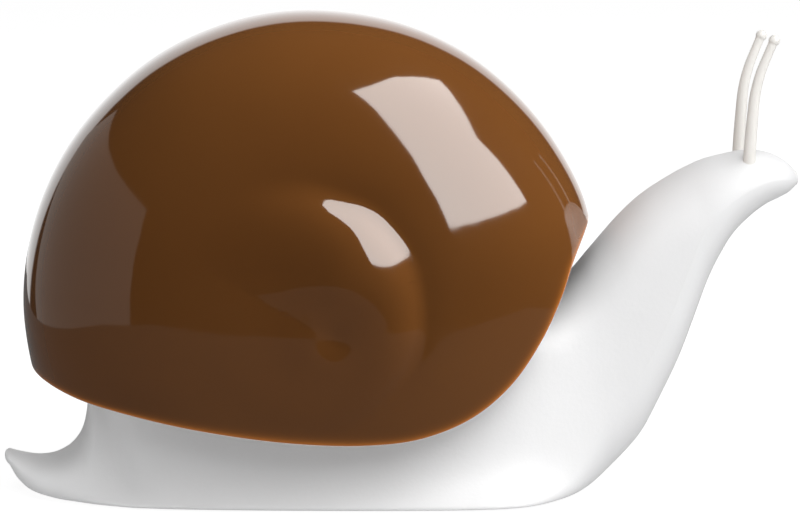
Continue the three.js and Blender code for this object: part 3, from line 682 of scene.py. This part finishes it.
def spiral_relief(x, z):
    """Height of the spiral's relief above the smooth shell at x, z."""
    dx, dz = x - SPIRAL_CENTRE[0], z - SPIRAL_CENTRE[1]
    distance, angle = np.hypot(dx, dz), np.degrees(np.arctan2(dz, dx))
    turn, radius = spline(SPIRAL_GROOVE, 600)[::-1].T
    strength_turn, strength = spline(GROOVE_STRENGTH, 300)[::-1].T
    height = np.zeros_like(x)
    for lap in (0, -360):
        at = angle + lap
        share = np.interp(at, strength_turn, strength, left=0, right=0)
        groove = np.interp(at, turn, radius)
        height += share * whorl_profile(groove - distance, groove / FULL_SIZE_RADIUS)
    away = smooth_step(distance / MIDDLE_RADIUS)
    hollow = np.hypot(x - DIMPLE[0], z - DIMPLE[1]) / DIMPLE_RADIUS
    return height * away + MIDDLE_HEIGHT * (1 - away) - DIMPLE_DEPTH * np.exp(-hollow ** 2)


def shell_flank(side):
    """Points of one flank from the middle to its edge, and how far each is from the rim."""
    angle, outer, edge = shell_reach()
    reach = np.minimum(outer, edge)
    power = SHELL_SQUARENESS / 2
    widest = np.arcsin(np.clip((reach / outer) ** power, 0, 1))
    lean = widest * (np.arange(OUTWARD + 1) / OUTWARD)[:, None]
    share = np.sin(lean) ** (1 / power)
    x = SHELL_CENTRE[0] + outer * share * np.cos(angle)
    z = SHELL_CENTRE[1] + outer * share * np.sin(angle)
    y = SHELL_HALF_WIDTH * np.cos(lean) ** (1 / power)
    y[-1, reach >= outer] = 0
    relief = spiral_relief(x, z) * smooth_step(y / RELIEF_FADE)
    return np.stack([x, side * (y + relief), z], axis=-1), edge - outer * share


def rim_loop(work):
    """The open edge of a mesh as one closed loop of points."""
    edges = {edge for edge in work.edges if edge.is_boundary}
    at = next(iter(edges)).verts[0]
    loop = []
    while step := next((edge for edge in at.link_edges if edge in edges), None):
        edges.remove(step)
        loop.append(at)
        at = step.other_vert(at)
    return loop


def rim_outwards(loop):
    """At each point of the rim, the direction in the skin that leads off its edge."""
    outwards = []
    for i, v in enumerate(loop):
        tangent = (loop[(i + 1) % len(loop)].co - loop[i - 1].co).normalized()
        inwards = sum((edge.other_vert(v).co - v.co for edge in v.link_edges if not edge.is_boundary),
                      Vector())
        inwards -= inwards.dot(tangent) * tangent
        inwards -= inwards.dot(v.normal) * v.normal
        outwards.append(-inwards.normalized())
    return outwards


def thicken(work, wall, painted_glow):
    """Gives an open skin a wall and a rounded rim, and carries the painted rim glow over to both."""
    outer = list(work.verts)
    faces = list(work.faces)
    loop = rim_loop(work)
    inner = {v: work.verts.new(v.co - wall * v.normal) for v in outer}
    for vertex, twin in inner.items():
        twin[painted_glow] = vertex[painted_glow]
    for face in faces:
        work.faces.new([inner[v] for v in reversed(face.verts)])
    rows = [loop]
    steps = 8
    outwards = rim_outwards(loop)
    for k in range(1, steps):
        turn = math.pi * k / steps
        row = []
        for v, out in zip(loop, outwards):
            depth = 0.5 * wall * (1 - math.cos(turn))
            reach = RIM_ROUNDING * MM * math.sin(turn)
            row.append(work.verts.new(v.co - depth * v.normal + reach * out))
            # the rim's rounding gets painted-glow values above 1, which paint a pale highlight along the
            # edge
            row[-1][painted_glow] = 1 + math.sin(turn) ** 2
        rows.append(row)
    rows.append([inner[v] for v in loop])
    for row, after in zip(rows, rows[1:]):
        for i in range(len(loop)):
            k = (i + 1) % len(loop)
            work.faces.new([row[i], row[k], after[k], after[i]])


def shell_cover():
    """The glossy cap: both flanks with their spiral relief, a wall, and a rounded rim."""
    points, painted_glow, faces = [], [], []
    for side in (1, -1):
        flank, below = shell_flank(side)
        columns = flank.shape[1]
        faces += grid_faces(OUTWARD + 1, columns, first=len(points) * columns)
        points += list(flank)
        # painted glow of light through the thin rim: 1 at the rim, fading inwards
        painted_glow += list(np.exp(-np.maximum(below, 0) / PAINTED_GLOW_REACH))
    obj = mesh_object("shell_cover", np.array(points).reshape(-1, 3) * MM, faces)
    mesh = obj.data
    mesh.attributes.new("rim_glow", "FLOAT", "POINT").data.foreach_set("value", np.array(painted_glow).ravel())
    work = bmesh.new()
    work.from_mesh(mesh)
    bmesh.ops.remove_doubles(work, verts=work.verts, dist=2e-6)
    bmesh.ops.recalc_face_normals(work, faces=work.faces)
    work.normal_update()
    if max(work.verts, key=lambda v: v.co.z).normal.z < 0:
        bmesh.ops.reverse_faces(work, faces=work.faces)
        work.normal_update()
    thicken(work, SHELL_WALL * MM, work.verts.layers.float["rim_glow"])
    bmesh.ops.recalc_face_normals(work, faces=work.faces)
    work.to_mesh(mesh)
    work.free()
    return finish_piece(obj, "shell", "shell", ["shell_cover"], smooth_angle=60)


def shell_posts():
    """Four screw posts that hang from the shell's roof."""
    foot, hole_top, radius = 95.1, 108, 4
    posts = []
    for x, y in places("carrier_screw"):
        roof = 112 if x < PUMP_X else 114
        profile = [(HOLE_RADIUS, foot), (radius, foot), (radius, roof), (0, roof), (0, hole_top),
                   (HOLE_RADIUS, hole_top)]
        posts.append(turned("shell_posts", profile, x, y, sides=40))
    finish_piece(join(*posts), "shell", "shell")


def screw(node, body, head_height):
    """Pan-head screw with a cross recess and a helical thread, in its CAD node's place."""
    x, y = centre_of(node).xy
    bottom, top = heights_of(node)
    seat = bottom + head_height
    profile = [
        (0, bottom), (1.7, bottom + 0.1), (2.35, bottom + 0.35 * head_height), (2.6, seat - 0.25),
        (2.6, seat), (0.9, seat), (0.9, seat + 1.2), (0, seat + 1.2),
    ]
    head = turned(node + "_fine", profile, x, y, sides=48, rounding=0.12)
    arms = [box_piece("arm", (x - a, y - b, bottom - 1), (x + a, y + b, bottom + 0.62 * head_height))
            for a, b in ((1.5, 0.28), (0.28, 1.5))]
    cut(head, *arms)
    sides, pitch = 24, 0.9
    start, step = seat + 0.4, 0.09
    heights = np.linspace(start, top, int((top - start) / step))
    angle = circle(sides)
    phase = (heights[:, None] / pitch - angle / (2 * math.pi)) % 1
    ridge = np.clip(1 - np.abs(phase - 0.5) * 3.2, 0, 1)
    taper = np.clip(top - heights, 0.12, 1)[:, None]
    radius = (0.78 + 0.36 * ridge) * taper
    rings = np.stack([x + radius * np.cos(angle), y + radius * np.sin(angle),
                      np.broadcast_to(heights[:, None], radius.shape)], axis=-1)
    thread = skin("thread", rings, rings[0].mean(axis=0), rings[-1].mean(axis=0))
    join(head, thread)
    finish_piece(head, "steel", body, [node])


def shell_carrier():
    """Plate that joins the shell to the pump, with two guide legs."""
    bottom, top = 92.3, 94.8
    plate = soft_prism("shell_carrier_fine", CARRIER, bottom, top, rounding=0.5)
    rear, front = PUMP_X - LEG_HALF_LENGTH, PUMP_X + LEG_HALF_LENGTH
    join(plate, box_piece("bar", (rear - 1, -LEG_OUTER, bottom), (front + 1, LEG_OUTER, top)))
    for side in (-1, 1):
        inner, outer = side * LEG_INNER, side * LEG_OUTER
        join(plate, box_piece("leg", (rear, inner, LEG_BOTTOM), (front, outer, top)))
    join(plate, turned("collar", [(11.4, 90.6), (13.4, 90.6), (13.4, 93.3), (11.4, 93.3)], PUMP_X))
    for x in (PUMP_X - 30, PUMP_X + 30):
        window = {"x": x, "half_length": 5, "half_width": 4, "squareness": 6}
        cut(plate, soft_prism("window", window, bottom - 1, top + 1))
    for x, y in places("carrier_screw"):
        cut(plate, cylinder("hole", HOLE_RADIUS, bottom - 2.3, top + 2.2, x, y))
    soften(plate, 0.3)
    finish_piece(plate, "inner_white", "shell", ["shell_carrier"])


# -------- body


def inset_line(line, distance, turn):
    """Low or high line of the body moved inwards. turn is 1 for low, -1 for high."""
    tangent = directions(line)
    return line + turn * distance * np.column_stack([-tangent[:, 1], tangent[:, 0]])


def corner_inset(across, up, height):
    """How far a rounded corner draws the section in, at heights above or below its end."""
    inside = np.clip((up - height) / up, 0, 1)
    return across * (1 - np.sqrt(1 - inside ** 2))


def body_ring(section, raised):
    """A cross-section of the body as a ring of points. raised is its low point's height over the foot."""
    low, high, upper, foot, round_low, round_high = section[:2], section[2:4], *section[4:]
    height = np.hypot(*(high - low))

    def width_at(h):
        return upper + (foot - upper) * np.exp(-((np.maximum(h, 0) + raised) / FOOT_FLARE_HEIGHT) ** 1.3)

    up_low, up_high = (min(r, height / 2 - 0.02) for r in (round_low, round_high))
    across_low = min(round_low, width_at(0) - 0.5)
    across_high = min(round_high, width_at(height) - 0.5)
    arc = np.linspace(0, math.pi / 2, 9)
    middle = up_low + (height - up_high - up_low) * np.linspace(0, 1, 16)[1:-1] ** 1.5
    h = np.concatenate([up_low * (1 - np.cos(arc)), middle, height - up_high * (1 - np.sin(arc))])
    y = width_at(h) - corner_inset(across_low, up_low, h) - corner_inset(across_high, up_high, height - h)
    h = np.concatenate([[0], h, [height], h[::-1]])
    y = np.concatenate([[0], y, [0], -y[::-1]])
    spot = low + np.outer(h / height, high - low)
    return np.column_stack([spot[:, 0], y, spot[:, 1]])


def body_rings(sections, fine=6, raised=0):
    """Rings over sections, smoothly interpolated between them."""
    sections = np.array(sections, float)
    middle = (sections[:, 0:2] + sections[:, 2:4]) / 2
    at = np.concatenate([[0], np.cumsum(np.linalg.norm(np.diff(middle, axis=0), axis=1) ** 0.7)])
    wanted = np.interp(np.linspace(0, len(at) - 1, (len(at) - 1) * fine + 1), np.arange(len(at)), at)
    return [body_ring(section, raised) for section in through(at, sections, wanted)]


def round_cap(ring, tip):
    """Shrinking rings from the last full ring to a tip."""
    centre = ring.mean(axis=0)
    rings = []
    for turn in (0.25, 0.5, 0.75, 0.92):
        angle = turn * math.pi / 2
        moved = centre + (np.array(tip) - centre) * math.sin(angle)
        rings.append(moved + (ring - centre) * math.cos(angle))
    return rings


def body_outside():
    """The outside of the snail's body as a solid."""
    rings = body_rings(BODY_SECTIONS)
    rings = round_cap(rings[0], TAIL_TIP)[::-1] + rings + round_cap(rings[-1], SNOUT_TIP)
    return skin("body_shell_fine", rings, TAIL_TIP, SNOUT_TIP)


def body_inside(depth):
    """The hollow part of the body's length, drawn in by a depth, as a solid."""
    sections = np.array(BODY_SECTIONS, float)
    sections[:, 0:2] = inset_line(sections[:, 0:2], depth, 1)
    sections[:, 2:4] = inset_line(sections[:, 2:4], depth, -1)
    sections[:, 4:6] -= depth
    sections[:, 6:8] = np.maximum(sections[:, 6:8] - depth, 0.5)
    rings = body_rings(sections[HOLLOW_SECTIONS], fine=4, raised=depth)
    return skin("inside", rings, rings[0].mean(axis=0), rings[-1].mean(axis=0))


def mouth_point(out):
    """A point on the mouth's axis, at a distance outwards from the chin."""
    return (MOUTH[0] + MOUTH_OUT[0] * out, MOUTH[1] + MOUTH_OUT[1] * out)


def tentacle_line(side, points, count):
    """Points and radii along a tentacle, which leans outwards from root to tip."""
    line = spline(points, count)
    share = (line[:, 1] - TENTACLE_LINE[0][1]) / (TENTACLE_BALL[1] - TENTACLE_LINE[0][1])
    y = side * (TENTACLE_ROOT_Y + (TENTACLE_TIP_Y - TENTACLE_ROOT_Y) * share)
    return np.column_stack([line[:, 0], y, line[:, 1]]), line[:, 2]


def screw_bosses():
    """Four bosses for the base screws, each with a rib that runs into the body's wall."""
    bottom, reach = PLATE_TOP + 0.3, 34
    bosses = []
    for x, y in places("base_screw"):
        wall = math.copysign(reach, y)
        bosses += [cylinder("boss", BOSS_RADIUS, bottom, BOSS_TOP, x, y, sides=40),
                   box_piece("rib", (x - 1, y, bottom), (x + 1, wall, BOSS_TOP - 0.3))]
    return combine(join(*bosses), "INTERSECT", [body_inside(0.4 * BODY_WALL)])


def body_shell():
    """The matt moulding: foot, tail, well for the tank, neck and head."""
    body = body_outside()
    cut(body, body_inside(BODY_WALL))
    join(body, screw_bosses())
    openings = [
        soft_prism("plate_opening", PLATE, -1, PLATE_TOP + 1, 0.2, grow=0.4),
        soft_prism("well_mouth", WELL_MOUTH, DECK_Z - 6, DECK_Z + 8, 0.2),
        bar("mouth", mouth_point(-MOUTH_DEPTH), mouth_point(8), MOUTH_SHANK + 0.3),
        bar("mouth_seat", mouth_point(-1.4), mouth_point(8), MOUTH_RIM + 0.3),
    ]
    for side in (-1, 1):
        line, radii = tentacle_line(side, [(90.6, 80, 1.7), (90.6, 87, 1.7), (91, 95, 1.7)], 12)
        openings.append(sweep("socket", line, radii, 40))
    openings += [cylinder("hole", HOLE_RADIUS, -1, 14, x, y) for x, y in places("base_screw")]
    cut(body, *openings)
    finish_piece(body, "body", "base", ["body_shell"], smooth_angle=42)


def tentacle(side, node):
    """Thin bent feeler that ends in a small ball."""
    line, radii = tentacle_line(side, TENTACLE_LINE, 60)
    feeler = sweep(node + "_fine", line, radii, 36)
    x, z, radius = TENTACLE_BALL
    join(feeler, ball("ball", radius, x, side * TENTACLE_TIP_Y, z, sides=36))
    finish_piece(feeler, "tentacle", "base", [node], smooth_angle=70)


def base_plate():
    """Plate that closes the foot, with screw holes and pad recesses."""
    plate = soft_prism("base_plate_fine", PLATE, PLATE_BOTTOM, PLATE_TOP, 0.4)
    tools = [cylinder("recess", PAD_RADIUS + 0.3, 0, 1.7, x, y, sides=72) for x, y in places("foot_pad")]
    profile = [(0, 0), (2.9, 0), (2.9, 2.1), (HOLE_RADIUS, 2.1), (HOLE_RADIUS, 5), (0, 5)]
    tools += [turned("hole", profile, x, y, sides=40) for x, y in places("base_screw")]
    cut(plate, *tools)
    finish_piece(plate, "inner_white", "base", ["base_plate"])


def foot_pad(node):
    """Rubber disc with shallow rings moulded in its underside."""
    profile = [(0, 0.05), (1.2, 0), (1.5, 0.2), (1.9, 0.2), (2.2, 0), (2.9, 0), (3.2, 0.2), (3.6, 0.2),
               (3.9, 0), (4.8, 0), (5, 0.3), (5, 1.2), (4.8, 1.4), (0, 1.4)]
    pad = turned(node + "_fine", profile, *centre_of(node).xy, sides=64, rounding=0.12)
    finish_piece(pad, "rubber", "base", [node])


# -------- tank and pump


def tank_skin(name, grow, bottom, top, neck_radius, neck_top, rounding):
    """Tank outline as a solid: a squarish oval box that closes to a round neck."""
    chamfer = 0.2
    rings = prism_rings(TANK, bottom, top, rounding, grow, 5)
    edge = rings[-1][0]
    neck, lip = (oval({"x": PUMP_X, "half_length": r, "half_width": r, "squareness": 2})
                 for r in (neck_radius, neck_radius - chamfer))
    rings += [(edge + (neck - edge) * share, top) for share in (0.35, 0.7, 0.93)]
    rings += [(neck, top + 2 * chamfer), (neck, neck_top - chamfer), (lip, neck_top)]
    return stacked(name, rings)


def lug_pair(inner, outer, bottom, top):
    """Two parts of a ring, in front of the pump's axis and behind it."""
    ring = turned("lugs", [(inner, bottom), (outer, bottom), (outer, top), (inner, top)], PUMP_X, sides=96)
    reach, half = outer + 1, outer * 0.5
    keep = box_piece("keep", (PUMP_X - reach, -half, bottom - 1), (PUMP_X + reach, half, top + 1))
    gap = box_piece("gap", (PUMP_X - 2, -half - 1, bottom - 2), (PUMP_X + 2, half + 1, top + 2))
    return combine(ring, "INTERSECT", [cut(keep, gap)])


def tank():
    """Refillable tank of frosted plastic, with two lugs on its neck."""
    outside = tank_skin("tank_fine", 0, 3.6, 44.5, 12.5, 57, 2.5)
    join(outside, lug_pair(11.5, 13.4, 50.5, 52.5))
    cut(outside, tank_skin("inside", -TANK_WALL, 5.1, 43, 10.7, 60, 1.5))
    finish_piece(outside, "clear", "base", ["tank"])


def pump_collar():
    """Bayonet collar with finger grips round it."""
    profile = [(14, 46), (16.5, 46), (16.5, 62.3), (15.3, 63.5), (10.2, 63.5), (10.2, 61.5), (14, 61.5)]
    collar = turned("pump_collar_fine", profile, PUMP_X, sides=144, rounding=0.35)
    join(collar, lug_pair(12.9, 14.5, 47.5, 49.5))
    for angle in circle(12) + math.pi / 12:
        x, y = PUMP_X + 17.2 * math.cos(angle), 17.2 * math.sin(angle)
        cut(collar, turned("grip", [(0, 45), (1.4, 45), (1.4, 60), (0, 61)], x, y, sides=32))
    finish_piece(collar, "inner_white", "collar", ["pump_collar"])


def turned_parts():
    """The turned parts of the pump, in their CAD nodes' places."""
    for node, slot, body, rounding, profile in PUMP_PARTS:
        part = turned(node + "_fine", profile, PUMP_X, rounding=rounding)
        finish_piece(part, slot, body, [node])


def valve_ball(node):
    """Polished ball of a check valve, which is a body of its own."""
    low, high = heights_of(node)
    obj = ball(node + "_fine", (high - low) / 2, PUMP_X, 0, (high + low) / 2, parts=24)
    finish_piece(obj, "steel", node, [node])


def actuator():
    """Cap that the shell presses on, with a barbed outlet for the hose."""
    profile = [
        (0, 75), (6.6, 75), (6.6, 89.2), (9.4, 89.2), (9.4, 76), (11, 76), (11, 91.2), (10.2, 92), (0, 92),
    ]
    cap = turned("actuator_fine", profile, PUMP_X, sides=96, rounding=0.35)
    # how far out each step of the barb is, and its radius
    barb = [(5, BARB_RADIUS), (13.4, BARB_RADIUS), (13.42, 2.5), (15.4, 2.05), (15.42, 2.45), (17, 1.9)]
    line = [(PUMP_X + out, 0, OUTLET_Z) for out, _ in barb]
    join(cap, sweep("barb", line, [radius for _, radius in barb], 48))
    chamber = turned("chamber", [(0, 74), (4.35, 74), (4.35, 82.3), (3.4, 82.3), (3.4, 88.4), (0, 88.4)],
                     PUMP_X)
    cut(cap, chamber, bar("outlet", (PUMP_X, OUTLET_Z), (PUMP_X + 18, OUTLET_Z), BARB_BORE))
    finish_piece(cap, "inner_white", "plunger", ["actuator"])


def pump_spring():
    """Coil spring with a closed turn at each end, which shortens as the pump is pressed."""
    bottom, top = heights_of("pump_spring")
    wire, radius, turns, closed_pitch = 0.5, 5.2, 6, 1.1
    open_pitch = (top - bottom - 2 * wire - 2 * closed_pitch) / (turns - 2)
    turn = np.linspace(0, turns, turns * 48 + 1)
    opened = np.clip(turn - 1, 0, turns - 2)
    angle = 2 * math.pi * turn
    out = np.column_stack([np.cos(angle), np.sin(angle), np.zeros_like(angle)])
    line = radius * out + (PUMP_X, 0, 0)
    line[:, 2] = bottom + wire + closed_pitch * (turn - opened) + open_pitch * opened
    spring = sweep("pump_spring_fine", line, wire, 16, across=out)
    finish_piece(spring, "steel", None, ["pump_spring"], smooth_angle=60, paint=SPRING_PAINT)
    start, end = (PUMP_X * MM, 0, bottom * MM), (PUMP_X * MM, 0, top * MM)
    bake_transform(spring, "base", "plunger", start=start, end=end)


def hose():
    """Soft hose from the actuator to the mouth. Its upper end follows the actuator."""
    line = np.insert(spline(HOSE_ROUTE, 110), 1, 0, axis=1)
    tube = sweep("hose_fine", line, HOSE_RADIUS, 40)
    longer = np.vstack([3 * line[0] - 2 * line[1], line, 3 * line[-1] - 2 * line[-2]])
    cut(tube, sweep("bore", longer, HOSE_BORE, 40))
    finish_piece(tube, "silicone", None, ["hose"])
    start, end = ((x * MM, 0, z * MM) for x, z in (HOSE_ROUTE[8], HOSE_ROUTE[1]))
    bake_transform(tube, "base", "plunger", start=start, end=end)


def mouth_nozzle():
    """Silicone elbow in the snout, with a rim in the chin and a barb for the hose."""
    chin, elbow = mouth_point(-0.4), mouth_point(-MOUTH_DEPTH)

    def barb_point(length):
        return (elbow[0] + MOUTH_BARB[0] * length, elbow[1] + MOUTH_BARB[1] * length)

    def knuckle(radius):
        return ball("knuckle", radius, elbow[0], 0, elbow[1], parts=20, sides=48)

    nozzle = bar("mouth_nozzle_fine", chin, elbow, MOUTH_SHANK)
    join(nozzle, bar("rim", mouth_point(-1.1), mouth_point(-0.2), MOUTH_RIM), knuckle(MOUTH_SHANK),
         bar("barb", elbow, barb_point(MOUTH_BARB_LENGTH), BARB_RADIUS))
    cut(nozzle, bar("bore", mouth_point(1), elbow, BARB_BORE), knuckle(BARB_BORE),
        bar("bore", elbow, barb_point(MOUTH_BARB_LENGTH + 1), BARB_BORE))
    finish_piece(nozzle, "silicone", "base", ["mouth_nozzle"])


SHELL_COVER = shell_cover()
shell_posts()
shell_carrier()
for i in range(1, 5):
    screw(f"carrier_screw_{i}", "shell", 1.2)
body_shell()
tentacle(1, "tentacle_left")
tentacle(-1, "tentacle_right")
mouth_nozzle()
base_plate()
for i in range(1, 5):
    screw(f"base_screw_{i}", "base", 0.9)
    foot_pad(f"foot_pad_{i}")
tank()
pump_collar()
turned_parts()
valve_ball("inlet_ball")
valve_ball("outlet_ball")
pump_spring()
actuator()
hose()

# -------- studio


def studio_sheet(name, points, gray, roughness, **settings):
    """A flat sheet of the studio, which isn't part of the object."""
    sheet = mesh_object(name, points, [tuple(range(len(points)))])
    sheet.data.materials.append(Paint(name, (gray, gray, gray), roughness, **settings).material)
    return sheet


def level_sheet(name, corners, height, gray, emission):
    """A level sheet of the studio, its corners given as x, y."""
    return studio_sheet(name, [(x, y, height) for x, y in corners], gray, 0.6, Specular_IOR_Level=0.0,
                        Emission_Color=(1, 1, 1, 1), Emission_Strength=emission)


def add_floor():
    """A wide white floor for the camera, a bright table for soft light and a dim one for reflections."""
    square = np.array([(-1, -1), (1, -1), (1, 1), (-1, 1)])
    floor = level_sheet("floor", 3 * square, -0.0002, 0.3, 0.85)
    floor.visible_diffuse = floor.visible_glossy = floor.visible_transmission = False
    floor.visible_shadow = False
    bounce = level_sheet("bounce", 1.5 * square, -0.0003, 0.4, 0.42)
    bounce.visible_camera = bounce.visible_glossy = False
    front_edge = [(-0.3, -0.16), (-0.22, -0.25), (-0.05, -0.26), (0.06, -0.2), (0.14, -0.15), (0.2, -0.1)]
    table = level_sheet("table", front_edge + [(0.21, 0.5), (-0.3, 0.5)], -0.0004, 0.02, 0.13)
    table.visible_camera = table.visible_diffuse = table.visible_shadow = False


def add_world():
    """White for the camera, even for soft light, and dim for reflections except behind the snail."""
    world = bpy.data.worlds.new("studio")
    bpy.context.scene.world = world
    world.use_nodes = True
    tree = world.node_tree
    tree.nodes.clear()
    direction = add_node(tree, "ShaderNodeTexCoord").outputs["Generated"]
    behind = add_node(tree, "ShaderNodeSeparateXYZ", {0: direction}).outputs["Y"]
    reflected = add_node(tree, "ShaderNodeMapRange", {
        "Value": behind, "From Min": 0.79, "From Max": 0.83, "To Min": 0.03, "To Max": 1.1,
    }, interpolation_type="SMOOTHSTEP").outputs[0]
    path = add_node(tree, "ShaderNodeLightPath").outputs
    strength = add_mix(tree, "FLOAT", path["Is Glossy Ray"], 0.42, reflected)
    strength = add_mix(tree, "FLOAT", path["Is Camera Ray"], strength, 1.05)
    background = add_node(tree, "ShaderNodeBackground", {"Color": (1, 1, 1, 1), "Strength": strength})
    add_node(tree, "ShaderNodeOutputWorld", {"Surface": background.outputs[0]})


def add_fill(name, centre, size, radiance, pieces=None):
    """A large soft light aimed at the snail that shows in no reflection. It may light some pieces only."""
    data = bpy.data.lights.new(name, "AREA")
    data.size = size
    data.energy = radiance * math.pi * size ** 2
    light = bpy.data.objects.new(name, data)
    bpy.context.scene.collection.objects.link(light)
    light.location = centre
    light.visible_camera = light.visible_glossy = False
    light.rotation_euler = (CAMERA_TARGET - light.location).to_track_quat("-Z", "Y").to_euler()
    if pieces:
        lit = bpy.data.collections.new(name)
        for piece in pieces:
            lit.objects.link(piece)
        light.light_linking.receiver_collection = lit


def add_pane(name, x, corners, radiance):
    """A bright upright pane at x that shows only in reflections, its corners given as y, z."""
    pane = studio_sheet(name, [(x, y, z) for y, z in corners], 0, 1.0,
                        Emission_Color=(1, 0.985, 0.96, 1), Emission_Strength=radiance)
    pane.visible_camera = pane.visible_diffuse = False


def add_lights():
    """Soft lights ahead and on the camera's side, a bright window ahead, and a dim wall at the tail."""
    others = [piece for piece in bpy.data.objects if piece.type == "MESH" and piece != SHELL_COVER]
    add_fill("key", (0.94, -0.2, 0.95), 1.2, 2.0)
    add_fill("shell_fill", (0.8, -0.25, 1.05), 1.2, 7.9, [SHELL_COVER])
    add_fill("body_fill", (0.15, -0.85, 0.85), 0.9, 3.4, others)
    add_pane("window", 1.0, [(-1.8, 0.35), (-0.28, 0.42), (-0.36, 0.87), (0.24, 1.53), (-0.3, 2.44),
                             (-2.1, 4.4)], 8.0)
    add_pane("wall", -1.0, [(0.72, -0.2), (-0.95, -0.3), (-0.9, 0.53), (1.13, 0.87), (1.55, 0.6),
                            (0.95, 0.17)], 0.42)


add_floor()
add_world()
add_lights()
bpy.context.scene.view_settings.view_transform = "Standard"
